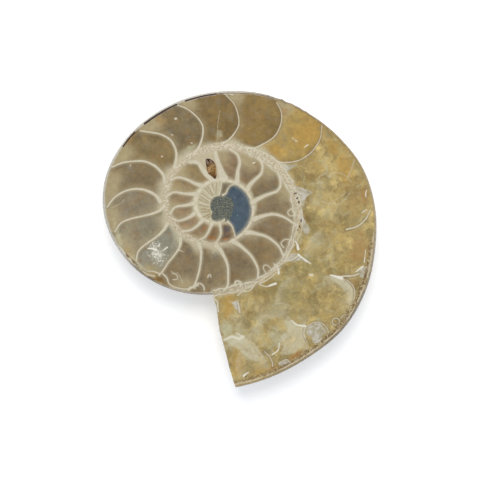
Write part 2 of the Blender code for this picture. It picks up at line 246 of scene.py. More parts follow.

# Marks along the whorls, by layer: width at the start and at the end, then angle and radius by turns. The
# cream ones are lobes of the inner whorl's wall; the dark ones are painted shade in the gap under the outer
# shell and in pits.
SPIRAL_MARKS = {
    "cream": [
        (0.2, 0.2, 279.4, 27, 279.6, 25.6, 281, 25, 282.6, 25.5, 283, 27),
        (0.2, 0.2, 303.6, 26.4, 304, 24.6, 306, 24, 308, 24.8, 308.4, 26.4),
        (0.24, 0.24, 326.8, 24.6, 328, 23.2, 331, 23.2, 333.4, 24, 334, 25),
        (0.24, 0.24, 353.4, 24.2, 352.6, 22.8, 355.4, 22, 358, 22.8, 359, 24.4),
        (0.2, 0.2, 233, 27.6, 235, 27.2, 237.6, 27.6, 238, 28.4, 236, 29.2),
        (0.4, 0.3, 84.4, 37.6, 87, 37.9, 89, 37.6), (0.22, 0.22, 38, 23.9, 30, 24.4, 24, 24.6, 19, 25.6),
        (0.22, 0.22, -2, 26.6, -6, 27, -12, 27.4, -18, 27.6, -24, 27.4),
        (0.25, 0.25, -46, 28.2, -52, 28.4, -58, 28.6, -64, 28.4),
        (0.3, 0.3, -68, 28.4, -72, 29.4, -76, 29, -80, 30),
    ],
    "dark": [
        (0.6, 0.66, 93, 37.65, 97, 37.5, 103, 37.35, 109, 37.35),
        (0.66, 0.72, 114, 37.35, 120, 37.35, 127, 37.55, 133, 37.9),
        (0.6, 0.5, 139.4, 38.3, 144, 38.5, 148.6, 38.65),
        (0.14, 0.26, 66, 39.9, 74, 39.1, 80, 38.4, 86, 38, 92, 37.7), (0.5, 0.35, 10.6, 25.2, 10.4, 24.6),
        (0.55, 0.4, 6.9, 25.4, 6.3, 25), (0.6, 0.5, 3.9, 25.7, 2.9, 25.6),
        (0.4, 0.35, -9, 26.7, -10.6, 26.8), (0.3, 0.3, -13.6, 26.6, -14.8, 26.7),
        (0.3, 0.25, -16.6, 26.3, -17.6, 26.4),
    ],
}

# Straight marks, by layer: width at the start and at the end, then x and y by turns. They are remnants of
# septa, cracks, painted highlights of glints, shards of shell, growth of the shell at the lower left, and
# the first chambers.
MARKS = {
    "pale": [
        (0.4, 0.4, 42, 9.9, 43.2, 12.7, 44.2, 15.8),
        (0.16, 0.14, 31.8, 7.8, 32.8, 10.3, 36.6, 11.5, 40.9, 10.6, 43.2, 8.3),
        (0.14, 0.14, 33, 2, 36.2, 1.2, 39, 3.2, 41.4, 5), (0.16, 0.16, 38.4, 0.6, 40.4, 2, 42.6, 4.6),
        (0.14, 0.14, -36.9, -0.2, -35, 0.6, -33.7, 1.2, -32.6, 2.5),
        (0.06, 0.06, -0.7, 32.1, -1.4, 27.6, -1.5, 23.5, -2, 21.5),
        (0.2, 0.2, 16.6, -33.2, 18.8, -32, 22.7, -32.9),
        (0.2, 0.2, -16.9, -21.4, -15.4, -22.4, -14.4, -24.4),
        (0.2, 0.2, -14.9, -21.9, -13.9, -23.4, -12.9, -25.7),
        (0.3, 0.7, -31.4, -15.4, -28.8, -17.9, -26.6, -20.1, -24.8, -21.3),
    ],
    "cream": [
        (0.3, 0.45, 49.5, -1, 47.9, -4, 45.2, -6.4, 41.4, -7.5),
        (0.5, 0.35, 39.9, -23.1, 44.1, -22.8, 45.7, -22.2),
        (0.3, 0.4, 47.4, -20.4, 49.1, -19.2, 50.7, -18.1),
        (0.2, 0.2, 41.5, -24.2, 43.6, -26.2, 44.3, -29, 43.6, -32),
        (0.22, 0.6, 12.7, -26, 15, -26.5, 17.8, -25.6), (0.3, 0.5, 21, -18.2, 23.3, -17.6, 25.4, -16.2),
        (0.25, 0.8, 17.2, -18.9, 18.6, -20.4, 18.9, -22),
        (0.35, 0.25, 21.2, -16.9, 22.6, -14.6, 24.2, -12.6),
        (0.4, 0.2, 27.9, -39.7, 27.3, -42.1, 27.9, -44.1),
        (0.2, 0.2, 28.6, -39.6, 31, -38.4, 33.6, -38.9, 35.4, -41.4, 34.9, -43.8),
        (0.22, 0.2, 14.1, -48.2, 15.7, -49.6, 16.7, -51.6, 16.9, -53.2),
        (0.2, 0.2, 20.2, -51.3, 21.6, -50.9, 22.7, -51.8, 22.2, -52.8, 20.2, -53.1, 18.9, -52.1,
         20.2, -51.3),
        (0.2, 0.2, 36.7, -38.2, 37.1, -37.3, 37.9, -37, 38.9, -37.4, 39.2, -38.2, 38.8, -39.1,
         37.9, -39.4, 37.1, -39.1, 36.7, -38.2),
        (0.16, 0.16, 39.6, -37.1, 40.4, -36.1, 41.4, -35.9, 42.1, -36.7, 41.4, -37.4),
        (0.3, 0.5, 5.2, -31.2, 5.6, -33, 5.9, -35.2),
        (0.4, 0.3, -19.8, -22.2, -18.4, -23.6, -17.6, -25.6, -15.2, -26.9, -11.2, -27.3, -7.9, -26.1),
        (0.35, 0.35, -9, -26, -7.6, -25.4, -6.2, -26.3, -5.9, -27.7),
        (0.3, 0.3, -11.2, -27.2, -10.4, -26.6, -9, -27.1),
        (0.32, 0.32, 4.2, -25.9, 4.8, -24.8, 5.8, -24.7, 6.6, -25.6, 6, -26.7),
        (0.5, 0.5, -3.4, -29.8, -2.6, -30.7, -1.5, -31.7, -1.5, -33.2, -1.2, -34.9),
        (0.2, 0.4, -24.8, -21.3, -22.8, -21.5, -20.6, -22.3),
        (0.3, 0.6, -34.2, -13, -33, -14.6, -32.4, -15.6),
        (0.5, 0.3, -31.2, -17.2, -30.6, -17.4, -30, -18.6, -28.9, -19.6),
        (0.3, 0.3, -26.6, -21.4, -24.6, -22.6, -22.4, -23), (0.2, 0.4, -7, 4.1, -4, 2),
        (0.3, 0.4, -5.9, 5.6, -3.4, 3), (0.4, 0.3, -3.9, 7.3, -2.7, 4.5), (0.3, 0.3, -7.6, 1.6, -4.4, 0.6),
    ],
    # White shards of shell, and glints painted as white highlights.
    "white": [
        (0.35, 1.1, 36.1, -22.7, 37.7, -23.1, 39.9, -23.7), (0.3, 0.55, 44.6, -21.6, 47, -19.8),
        (0.14, 0.3, 47.9, -14.3, 47.4, -18.5), (0.2, 0.3, 48, 3.2, 47.9, 4.6, 48.2, 5.6),
        (0.22, 0.22, 46.6, -2, 48.2, -0.8), (0.2, 0.3, 27.4, 19.9, 28.7, 20.8),
        (0.16, 0.14, -14.4, -14.3, -13, -14.9), (0.35, 0.3, 10.3, 14.5, 11, 14.9),
        (0.35, 0.9, -24.7, -13.8, -23.2, -13.9, -22, -14.3), (0.3, 0.45, -21.3, -13.2, -20.8, -12.4),
        (0.2, 0.5, -19.8, -14.6, -18.2, -13.4), (0.2, 0.3, -23.4, -15.6, -21.6, -15.9),
        (0.3, 0.8, 15.6, -26.2, 17.9, -25.5), (0.6, 0.3, 25.4, -15.8, 27.4, -17.4, 29.6, -18.9),
        (0.2, 0.9, 24.4, -11.4, 25.1, -12.5, 25.4, -14), (0.2, 0.5, 18.9, -20.8, 18.9, -22.3),
        (0.3, 0.55, 23.3, -37.8, 24.8, -39.2, 27.9, -39.7),
        (0.25, 0.35, 19.1, -45.4, 18.7, -47.7, 16.8, -49.1), (0.6, 0.25, 7.2, -56.3, 8, -55.6, 9, -55.1),
    ],
    # Glints, painted as highlights.
    "glint": [
        (0.3, 0.1, 24.4, 22.2, 25, 21.9), (0.1, 0.1, 23.4, 23, 23.7, 22.7),
        (0.6, 0.6, 29.4, -22.7, 30.2, -22.6), (0.5, 0.5, -15.5, 29.4, -15.3, 29.5),
        (0.2, 0.15, -10.3, 21.4, -9.9, 21.3), (0.2, 0.15, -20.2, 16.9, -19.8, 16.8),
        (0.1, 0.1, -16.8, 24.1, -16.4, 23.9), (0.2, 0.1, -30.5, 14, -30.5, 13.7),
        (0.12, 0.2, -4.5, -22.6, -4.7, -23.4), (0.1, 0.15, -3.9, -22.4, -3.7, -23.4),
        (0.5, 0.8, 0.7, -44.4, 3.2, -43.2, 5.4, -43.9, 7.1, -43.2), (0.3, 0.4, 4.9, -42.1, 6.8, -43.2),
    ],
    # Dark marks take the same painted shade as the gap and the pits.
    "dark": [
        (0.14, 0.2, 17.6, -49.3, 16.4, -50.2), (0.3, 0.15, 7.7, -56.7, 8.6, -56.2),
    ],
    "brown": [
        (0.22, 0.22, -17.9, -27, -11.2, -28.4, -4, -29), (0.25, 0.3, -29.8, -17.6, -28.2, -19.4),
        (0.6, 0.5, -31.9, -15.9, -31.2, -16.6), (0.5, 0.7, -30.1, -17.6, -29.3, -18.4),
        (0.3, 0.5, -25.4, -22.6, -23, -24, -20.9, -25.2),
    ],
    "slot": [
        (0.24, 0.34, -7.2, 3.5, -4.5, 1.8), (0.24, 0.34, -7.6, 2.6, -4.8, 1.1),
        (0.24, 0.34, -7.6, 0.7, -4.5, 0), (0.35, 0.3, -7.1, -0.7, -4.1, -1),
        (0.4, 0.3, -6.9, -1.7, -3.9, -1.5), (0.55, 0.4, -6.2, -3.3, -3.8, -2.2),
        (0.4, 0.5, -5, -3.8, -3.6, -2.9), (0.24, 0.34, -6.9, 4.6, -3.9, 2.3),
        (0.2, 0.25, -5.7, 6.5, -3.6, 3.5), (0.24, 0.34, -4.8, 6.8, -3.2, 4.2),
        (0.3, 0.15, -3.2, 7.7, -2.7, 4.2), (0.22, 0.3, -1.8, 7.9, -2, 4.6),
    ],
}

# Flat flakes of each kind: outlines with x and y by turns
FLAKES = {
    "flake": [
        (23.3, 7.1, 26.9, 6.3, 30.3, 4.9, 28.2, 3.3, 27.1, 0.4, 25.2, 1, 24.3, 3.6),
        (25.6, -1.4, 26.9, -2.9, 28, -5, 29.3, -7.7, 28, -9.3, 26.4, -6.6),
        (44.4, -21.9, 45.7, -22.3, 46.1, -23.6, 48.2, -23, 49.4, -21.3, 50.7, -18.3, 48.8, -19.6, 47, -19.9),
        (28.3, -40.4, 30.6, -38.9, 32.6, -38.5, 33.8, -40.2, 35, -41.6, 33.2, -43, 33.6, -44.9,
         30.6, -45.4, 29.6, -43.2, 28.4, -42.6),
        (0.6, -30.4, 3.2, -31.6, 5.2, -31.2, 6.2, -34, 6.2, -35.7, 4.9, -34.3, 3.4, -32.3),
        (19, 14.6, 22, 14.2, 25.4, 14.2, 22.6, 12.4, 21, 11.4),
        (21.4, -17.6, 23.2, -15.4, 25.4, -15.6, 29.6, -18.9, 26, -17.9, 23.4, -18.4),
        (20.2, -51.3, 21.6, -50.9, 22.7, -51.8, 22.2, -52.8, 20.2, -53.1, 18.9, -52.1),
    ],
    # Faces of crystals that catch the light, painted as pale highlights.
    "veil_flake": [
        (22.8, -38, 24.6, -39.3, 27.9, -39.9, 27.2, -42.4, 27.6, -45.4, 24.2, -48.6, 19.6, -49,
         20.6, -45.6, 19.4, -43, 21.6, -41.8),
        (1.4, -43.6, 5.6, -42.8, 8.6, -44.8, 11, -48, 12.4, -51.4, 8.8, -50.6, 5.6, -47.6, 2.4, -45.6),
        (35.6, -23, 40.4, -23.8, 43, -26.4, 43.8, -29.4, 42.9, -32, 41.6, -29, 39, -26),
    ],
}

# Faces of crystals that catch the light along one edge: strength, fade, then x and y by turns. They fade
# away to the left of the line, in the direction it is drawn, and on its other side within the edge.
VEILS = [
    (0.85, 2.4, 43.3, -31.8, 43.9, -28.8, 42.7, -26, 39.9, -23.6, 36.3, -23.1),
    (0.85, 2.6, 29, -39.7, 24.7, -39.2, 23.3, -37.8),
    (0.6, 2.6, 28.8, -47.1, 27.9, -44.1, 27.4, -42.1, 27.9, -39.7),
    (0.4, 2.4, 22.7, -40.4, 21, -42.1, 19.1, -44.9),
    (0.8, 2.2, 14.9, -51.6, 12.7, -48.5, 10.4, -45.4, 7.1, -43.8, 3.3, -44.9),
    (0.5, 1.8, 11.6, -39, 9.4, -42, 9, -45), (0.5, 2, 31, -9, 28.6, -12, 27.6, -16),
    (0.45, 2, 22, -24, 19, -27, 18, -31), (0.45, 2, 13, -36, 16, -37, 20, -36),
    (0.5, 2.2, 6, -48, 4.6, -52, 5.4, -56),
]
VEIL_EDGE = 0.3

# The first whorls, a mottled patch in the middle
FIRST_WHORLS = [
    (-3.9, 0.4), (-3.6, 2.3), (-2.2, 3.4), (-0.1, 3.7), (1.6, 3.5), (3, 3), (3.8, 1.4), (3.9, -0.3),
    (3.4, -2), (2.7, -3.8), (1.3, -4.9), (-0.5, -5.2), (-2.2, -4.9), (-3.4, -3.8), (-3.6, -2.7),
    (-3.2, -1.7), (-3.8, -0.7),
]

# Seams of small beads under the outer wall: start and end angle, inset at the start and the end, gap.
# Without an inset they lie along the inner whorl's band.
BEADS = [
    (-36, -8, 2.0, 1.6, 0.75), (-62, -38, 1.7, 2.1, 0.7), (-85, -64, 2.0, 1.7, 0.8),
    (268, 372, None, None, 0.72),
]
BEAD_SIZE = 0.34

# The rim of shell around the face: (angle, share of grey, share of brown), gold else, and its width
RIM_TONES = [
    (-96, 0.1, 0.1), (-78, 0, 0.2), (-62, 0.1, 0.6), (-48, 0.1, 0.9), (-28, 0.25, 0.9), (-16, 0.3, 0.5),
    (0, 0.2, 0.2), (25, 0, 0.4), (45, 0, 0.5), (62, 0.1, 0.8), (72, 0.5, 0.7), (84, 0.9, 0.2), (100, 1, 0),
    (205, 1, 0), (214, 0.3, 0.9), (228, 0.1, 0.9), (240, 0.5, 0.6), (264, 0.6, 0.5),
]
RIM_SHELL = 0.4

# The seam of grains under the rim: angles, distances from the rim in mm, and how it tapers at its ends
SEAM_RANGE = (-88, -12)
SEAM_START = 0.3
SEAM_WIDTH = 2.0
SEAM_TAPER = 0.3

LAYERS = (
    "cream", "white", "glint", "flake", "veil_flake", "dark", "brown", "slot", "pale", "band", "wall",
    "bead", "veil",
)

# Colours as seen in the photo's light
PATCH_COLOURS = {
    "gold": (190, 153, 82), "rust": (166, 116, 66), "pale": (202, 196, 160), "umber": (126, 98, 58),
    "olive": (146, 136, 88), "amber": (176, 142, 92), "slate": (96, 92, 92), "grey": (150, 148, 138),
}
COLOURS = {
    **PATCH_COLOURS,
    "cream": (222, 212, 186), "cream_shade": (190, 178, 148), "cream_bright": (236, 228, 206),
    "white": (240, 235, 218), "band_light": (224, 214, 190), "band_dark": (174, 156, 122),
    "wedge": (178, 163, 128), "wedge_pale": (204, 194, 164), "wedge_gold": (182, 166, 128),
    "flake_grey": (212, 207, 194), "flake_shade": (176, 166, 138), "veil": (214, 207, 178),
    "gap_painted_shade": (72, 58, 46), "slot": (168, 149, 112), "edge_brown": (112, 86, 56),
    "chamber_warm": (158, 124, 80), "body_gold": (188, 156, 88), "body_brown": (148, 122, 76),
    # The dark colour of the gap is painted shade, for the gap under the outer shell and for pits.
    "seam_light": (208, 190, 150), "rim_gold": (186, 158, 104), "rim_dark": (88, 70, 48),
    "rim_grey": (208, 203, 192), "slate_dark": (60, 72, 82), "slate_light": (104, 118, 128),
    "slate_speck": (168, 180, 184), "first_dark": (62, 72, 74), "first_light": (140, 140, 122),
    "first_gold": (168, 156, 110), "shell_dark": (150, 132, 104), "shell_light": (198, 186, 160),
    "shell_stain": (126, 96, 62), "shell_nacre": (176, 178, 172), "broken_dark": (148, 122, 78),
    "broken_light": (208, 190, 142), "broken_pale": (222, 212, 180), "broken_stain": (128, 98, 58),
    "hollow_dark": (140, 104, 62), "hollow_light": (214, 186, 136), "amber_dark": (84, 58, 30),
    # The deepest amber is painted shade at the ends of the hollow.
    "amber_light": (184, 146, 92), "amber_pale": (206, 184, 140), "amber_painted_shade": (72, 50, 26),
}

# Where a shade of noise or of a crystal's face is fully dark and fully light
NOISE_ENDS = (0.28, 0.72)
FACET_ENDS = (-0.35, 0.35)

# Light in the scene: what a white, level surface sends back, and the veil that gloss lays over it
LIGHT_LEVEL = 1.06
GLOSS_VEIL = 0.03

# The crust of crystals: its lining, and the crystals' width, length as a share of the width, and course
CRUST_GAP = 0.08
CRUST_TOP_DEPTH = 0.45
CRUST_THICKNESS = 0.35
LINING_ROWS = 9
CRYSTAL_COUNT = 44
CRYSTAL_WIDTH = (1.0, 1.9)
CRYSTAL_LENGTH = (0.9, 1.7)
CRYSTAL_TOP_DEPTH = 0.15
CRYSTAL_AIM_DEPTH = 1.0
CRYSTAL_TILT = 0.35
CRYSTAL_RISE = 0.25
CRYSTAL_SEED = 4

# The studio, in metres but for the frame, which is in mm at the polished face
FRAME_WIDTH = 160.0
FRAME_MIDDLE = (0.15, -0.31)
CAMERA_LENS = 100.0
CAMERA_SENSOR = 36.0
FLOOR_SIZE = 4.0
FLOOR_COLOUR = (0.93, 0.935, 0.94, 1.0)
FLOOR_GLOW = 0.3
SKY_STRENGTH = 0.62
SKY_COLOUR = (0.915, 0.975, 1.07, 1.0)
WINDOW_COLOUR = (1.06, 1.0, 0.89)
WINDOW_PLACE = (-0.02, 0.45, 0.8)
WINDOW_SIZE = 0.5
WINDOW_POWER = 4.1

# Layout of the colour map, in mm on a square sheet
SHEET = 142.0
FACE_CORNER = (41.4, 101.6)
BACK_MIDDLE = (112.0, 39.7)
BACK_SCALE = 0.55
APERTURE_CORNER = (-12.0, 3.0)
CHAMBER_CORNER = (4.0, 22.0)

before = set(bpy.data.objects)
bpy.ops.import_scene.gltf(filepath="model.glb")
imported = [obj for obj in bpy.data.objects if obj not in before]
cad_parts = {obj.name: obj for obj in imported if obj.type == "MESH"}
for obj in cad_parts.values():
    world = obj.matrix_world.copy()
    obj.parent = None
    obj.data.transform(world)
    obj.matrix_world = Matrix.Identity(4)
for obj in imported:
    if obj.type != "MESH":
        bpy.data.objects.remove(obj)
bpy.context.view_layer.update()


def along(knots, x):
    """Smooth value at x of a curve through the (x, y) knots, for a number or an array."""
    xs, ys = np.array(knots, float).T
    x = np.clip(x, xs[0], xs[-1])
    i = np.clip(np.searchsorted(xs, x) - 1, 0, len(xs) - 2)
    before = np.maximum(np.arange(len(xs)) - 1, 0)
    after = np.minimum(np.arange(len(xs)) + 1, len(xs) - 1)
    slopes = (ys[after] - ys[before]) / (xs[after] - xs[before])
    step = xs[i + 1] - xs[i]
    t = (x - xs[i]) / step
    return (
        ys[i] * (1 + 2 * t) * (1 - t) ** 2 + slopes[i] * step * t * (1 - t) ** 2
        + ys[i + 1] * t * t * (3 - 2 * t) - slopes[i + 1] * step * t * t * (1 - t)
    )


def polar(angle, radius):
    """Places in the face for angles and radii."""
    turned = np.radians(angle)
    return np.stack([radius * np.cos(turned), radius * np.sin(turned)], -1)


def angle_of(points):
    """Angles of places in the face, from -180 to 180 degrees."""
    return np.degrees(np.arctan2(points[..., 1], points[..., 0]))


def first_turn(points):
    """Angles of places in the face, counted as in the first whorl."""
    return (angle_of(points) - LOWEST_ANGLE) % 360 + LOWEST_ANGLE


def lifted(flat, depth):
    """Places in the face as points in the part's frame, at this depth under the face."""
    height = FACE_HEIGHT - np.broadcast_to(depth, flat.shape[:-1])
    return np.concatenate([flat + SPIRAL_CENTRE, height[..., None]], -1)


def roughness(points, size, seed=0.0):
    """Smooth noise from -1 to 1 at each point, with features of this size in mm."""
    flat = points.reshape(-1, points.shape[-1]) / size + seed
    if flat.shape[1] == 2:
        flat = np.pad(flat, ((0, 0), (0, 1)))
    return np.array([noise.noise(Vector(p)) for p in flat]).reshape(points.shape[:-1])


def worn(points, kinds):
    """Sum of several kinds of roughness in mm, each with a height, a size and a seed."""
    return sum(height * roughness(points, size, seed) for height, size, seed in kinds)


# Shell formulas of part.py

def seam_radius(angle):
    return UMBILICUS_SHARE * along(WALL, angle)


def growth_scale(angle):
    t = np.clip((angle - MERGE_START_ANGLE) / (APERTURE_ANGLE + 360 - MERGE_START_ANGLE), 0.0, 1.0)
    share = t * t * (3 - 2 * t)
    return along(WALL, angle) * (1 - share) + share * along(WALL, angle - 360)


def lean(angle, radius):
    return along(GROWTH_LINE, radius / growth_scale(np.minimum(angle, APERTURE_ANGLE + 360)))


def rim_radius(angle):
    radius = along(WALL, angle)
    for _ in range(4):
        radius = along(WALL, angle + lean(angle, radius))
    knobbly = np.exp(-((angle - KNOBBLY_RIM[0]) / KNOBBLY_RIM[1]) ** 2)
    return radius + knobbly * worn(polar(angle, radius), KNOBS)


# Lines and distances in the plane of the face

def spline(points, step=LINE_STEP):
    """A smooth plane line through the points, in steps of about this length."""
    points = np.reshape(np.array(points, float), (-1, 2))
    at_point = np.append(0, np.cumsum(np.linalg.norm(np.diff(points, axis=0), axis=1)))
    count = max(int(round(at_point[-1] / step)), 1) + 1
    where = np.linspace(0, at_point[-1], count)
    return np.stack([along(list(zip(at_point, points[:, k])), where) for k in (0, 1)], -1)


def polar_line(points, step=LINE_STEP):
    return spline(polar(*np.reshape(np.array(points, float), (-1, 2)).T), step)


def closed_spline(points, step):
    """A smooth closed outline through the points, without a repeated end."""
    points = np.reshape(np.array(points, float), (-1, 2))
    twice = spline(np.concatenate([points[-3:], points, points[:4]]), step)
    half = len(twice) // 2
    gap = np.linalg.norm(twice - points[0], axis=1)
    return twice[gap[:half].argmin():half + gap[half:].argmin()]


def distance(points, line):
    """For each point: its distance to a line, how far along the line from 0 to 1, and which side
    it is on, above 0 on the left."""
    out = np.full(len(points), FAR)
    share, side = np.zeros(len(points)), np.zeros(len(points))
    near = np.flatnonzero(((points > line.min(0) - FAR) & (points < line.max(0) + FAR)).all(1))
    start, run = line[:-1], np.diff(line, axis=0)
    offset = points[near][:, None] - start[None]
    t = np.clip((offset * run).sum(-1) / (run * run).sum(-1), 0, 1)
    gap = np.linalg.norm(offset - t[..., None] * run, axis=-1)
    best = gap.argmin(1)
    rows = np.arange(len(near))
    out[near] = np.minimum(gap[rows, best], FAR)
    share[near] = (best + t[rows, best]) / len(run)
    nearest = offset[rows, best]
    side[near] = run[best, 0] * nearest[:, 1] - run[best, 1] * nearest[:, 0]
    return out, share, side


def closed_distance(points, outline):
    return distance(points, np.concatenate([outline, outline[:1]]))[0]


def inside(points, outline):
    """Which of the points lie inside a closed outline."""
    x, y = points[:, 0][:, None], points[:, 1][:, None]
    a, b = outline, np.roll(outline, -1, axis=0)
    crosses = (a[:, 1] > y) != (b[:, 1] > y)
    with np.errstate(divide="ignore", invalid="ignore"):
        cut = a[:, 0] + (y - a[:, 1]) * (b[:, 0] - a[:, 0]) / (b[:, 1] - a[:, 1])
    return (crosses & (x < cut)).sum(1) % 2 == 1


def depth_inside(points, outline):
    """How deep each point lies in an outline, below 0 outside."""
    gap = closed_distance(points, outline)
    return np.where(inside(points, outline), gap, -gap)


def band_edge(angle, column):
    table = np.array(SHELL_BAND, float)
    return np.interp(angle, table[:, 0], table[:, column])


# The fossil's fine mesh, put together from blocks that share their edge vertices

class Fossil:
    """Vertices, faces, and what the faces' corners carry."""

    def __init__(self):
        self.verts, self.faces, self.looks, self.sheet = [], [], [], []
        self.corners = {}

    def add_verts(self, points):
        first = len(self.verts)
        self.verts.extend(map(tuple, points))
        return list(range(first, len(self.verts)))

    def add_faces(self, faces, look, sheet, **corner_values):
        """Faces with a look, a place on the colour sheet for each corner, and values per corner."""
        before = sum(map(len, self.sheet))
        self.faces.extend(faces)
        self.looks.extend([look] * len(faces))
        self.sheet.append(np.array(sheet, float).reshape(-1, 2))
        for name, values in corner_values.items():
            self.corners[name] = before, np.array(values, float)


def closed_ring(first, count):
    """The edges of a closed ring of vertices."""
    return [(first + k, first + (k + 1) % count) for k in range(count)]


def triangulate(points, edges):
    """Delaunay triangles that keep the edges. Gives the points, the triangles and input indices."""
    made = geometry.delaunay_2d_cdt([Vector(p) for p in points], edges, [], 0, 1e-5)
    origin = {source: new for new, sources in enumerate(made[3]) for source in sources}
    return np.array([tuple(p) for p in made[0]]), np.array(list(made[2])), origin


def hexagonal_grid(low, high, step):
    rows = np.arange(low[1], high[1], step * math.sqrt(3) / 2)
    columns = np.arange(low[0], high[0], step)
    x = columns[None] + (np.arange(len(rows)) % 2 * step / 2)[:, None]
    y = np.repeat(rows[:, None], len(columns), 1)
    return np.stack([x, y], -1).reshape(-1, 2)


def rim_outline(angles):
    """Radii of the polished face's edge along the outer wall, a little worn."""
    radius = rim_radius(angles)
    return radius - RIM_INSET + worn(polar(angles, radius), RIM_WEAR)


def face_lines():
    """Every drawn line: (layer, line, width along it)."""
    lines = []
    for width, *points in SEPTA:
        lines.append(("cream", polar_line(points), lambda t, w=width: w * (0.5 + 0.2 * t + 0.6 * t ** 4)))
    angles = np.arange(*LACE_RANGE, 1.0)
    for edge, width in LACE_WIDTHS:
        radii = band_edge(angles, edge)
        line = polar(angles, radii + worn(polar(angles, radii), [(*LACE_LOBES, edge)]))
        lines.append(("cream", line, lambda t, w=width: w * (0.7 + 0.5 * np.sin(90 * t))))
    for marks, draw in ((SPIRAL_MARKS, polar_line), (MARKS, spline)):
        for layer, rows in marks.items():
            for start, end, *points in rows:
                line = draw(points, MARK_STEP)
                lines.append((layer, line, lambda t, a=start, b=end: a + (b - a) * t))
    return lines


def bead_centres():
    """Places of the small beads in the seams under the outer wall and along the inner one."""
    centres = []
    for start, end, inset_start, inset_end, gap in BEADS:
        angle = start
        while angle < end:
            if inset_start is None:
                radius = 0.5 * (band_edge(angle, 1) + band_edge(angle, 2))
            else:
                share = (angle - start) / (end - start)
                radius = along(WALL, angle) - (inset_start + (inset_end - inset_start) * share)
            centres.append(polar(angle, radius))
            angle += math.degrees(gap / radius)
    return centres


def face_layers(points, lines, rim):
    """What the face's vertices carry: mostly their depth inside each drawn layer, in mm."""
    layers = {name: np.full(len(points), OUTSIDE) for name in LAYERS}

    def cover(layer, values):
        layers[layer] = np.maximum(layers[layer], values)

    for layer, line, width in lines:
        gap, share, _ = distance(points, line)
        cover(layer, 0.5 * width(share) - gap)
    for layer, outlines in FLAKES.items():
        for outline in outlines:
            cover(layer, depth_inside(points, closed_spline(outline, FLAKE_STEP)))
    layers["veil"][:] = 0
    for strength, fade, *edge in VEILS:
        gap, _, side = distance(points, spline(edge))
        cover("veil", strength * np.exp(-(gap / np.where(side > 0, fade, VEIL_EDGE)) ** 2))
    radius, angle = np.linalg.norm(points, axis=1), angle_of(points)
    for whorl in first_turn(points) + 360 * np.arange(4)[:, None]:
        depth = np.minimum(radius - band_edge(whorl, 1), band_edge(whorl, 2) - radius)
        held = (whorl > BAND_RANGE[0]) & (whorl < BAND_RANGE[1])
        cover("band", np.where(held, depth, OUTSIDE))
        cover("wall", np.where(held & (whorl > SMOOTH_WALL_ANGLE), depth, OUTSIDE))
    for centre in bead_centres():
        cover("bead", 0.5 * BEAD_SIZE - np.linalg.norm(points - centre, axis=1))
    for kind in (*PATCH_COLOURS, "speck", "sparkle"):
        layers["patch_" + kind] = np.zeros(len(points))
    for kind, patches in PATCHES.items():
        for middle, out, length, breadth, strength in patches:
            along_whorl = np.radians((angle - middle + 180) % 360 - 180) * radius / length
            across = (radius - out) / breadth
            cover("patch_" + kind, strength * np.exp(-PATCH_FALL * (along_whorl ** 2 + across ** 2)))
    layers["blob"] = depth_inside(points, closed_spline(FIRST_WHORLS, MARK_STEP))
    layers["rim"] = distance(points, rim)[0]
    ends = np.radians(np.minimum(angle - SEAM_RANGE[0], SEAM_RANGE[1] - angle)) * radius
    depth = np.minimum(layers["rim"] - SEAM_START, SEAM_WIDTH - layers["rim"])
    layers["seam"] = np.minimum(depth, SEAM_TAPER * ends)
    return layers


def chamber_values(flat, triangles):
    """What the corners of the face's triangles carry of the chamber that holds the triangle."""
    middles = flat[triangles].mean(1)
    radius = np.linalg.norm(middles, axis=1)
    first = first_turn(middles)
    angle = first.copy()
    for turn in (360, 720):
        held = radius <= along(WALL, first + turn)
        angle[held] = first[held] + turn
    number = np.zeros(len(middles), int)
    for _, *septum in SEPTA:
        angles, radii = np.reshape(np.array(septum, float), (-1, 2)).T
        number += angle > np.interp(radius, radii[::-1], angles[::-1])

    corners = flat[triangles]
    around = angle_of(corners)
    around += 360 * np.round((angle[:, None] - around) / 360)
    radius = np.linalg.norm(corners, axis=-1)
    gaps = np.stack([distance(flat, polar_line(points))[0] for _, *points in SEPTA])
    behind = gaps[np.clip(number - 1, 0, None)[:, None], triangles]
    behind[number == BODY_CHAMBER] = FAR
    most_forward = np.array([min(points[::2]) for _, *points in SEPTA] + [PAST_ALL_SEPTA])
    wedge = np.radians(around - most_forward[number][:, None]) * radius
    pale_corners = [CORNERS.get(n, PLAIN_CORNER) for n in range(len(SEPTA) + 1)]
    reach, outer_end, foot = np.array(pale_corners)[number].T
    values = {
        "behind": behind, "ahead": gaps[np.clip(number, None, len(SEPTA) - 1)[:, None], triangles],
        "wedge": np.clip(wedge, -FAR, FAR), "roof": along(WALL, around) - radius,
        "floor": np.clip(radius - along(WALL, around + 360), -1, FAR),
    }
    of_chamber = {
        "body": number == BODY_CHAMBER, "inner": number >= FIRST_INNER_CHAMBER,
        "plain": np.isin(number, PLAIN_CHAMBERS), "slate": number == SLATE_CHAMBER,
        "reach": reach, "outer_end": outer_end, "foot": foot,
        "halo": np.array([0.0] + [min(max(2 * width - 0.9, 0.0), 1.0) for width, *_ in SEPTA])[number],
        "tint": np.array([seen(*colour) for colour in CHAMBER_COLOURS])[number],
    }
    return {
        **{name: value.ravel() for name, value in values.items()},
        **{name: np.repeat(value, 3, axis=0) for name, value in of_chamber.items()},
    }


def face_edges(rim_angles):
    """The edges of the polished face: its rim, and the broken edge at the aperture, from outside in."""
    radii = rim_outline(rim_angles)
    rim = polar(rim_angles + lean(rim_angles, radii), radii)
    steps = int((radii[0] - radii[-1]) / APERTURE_EDGE_STEP)
    down = np.linspace(radii[0], radii[-1], steps + 1)[1:-1]
    edge = polar(APERTURE_ANGLE + lean(np.full(len(down), APERTURE_ANGLE), down), down)
    return rim, edge + np.stack([worn(edge, [kind]) for kind in EDGE_WEAR], -1)


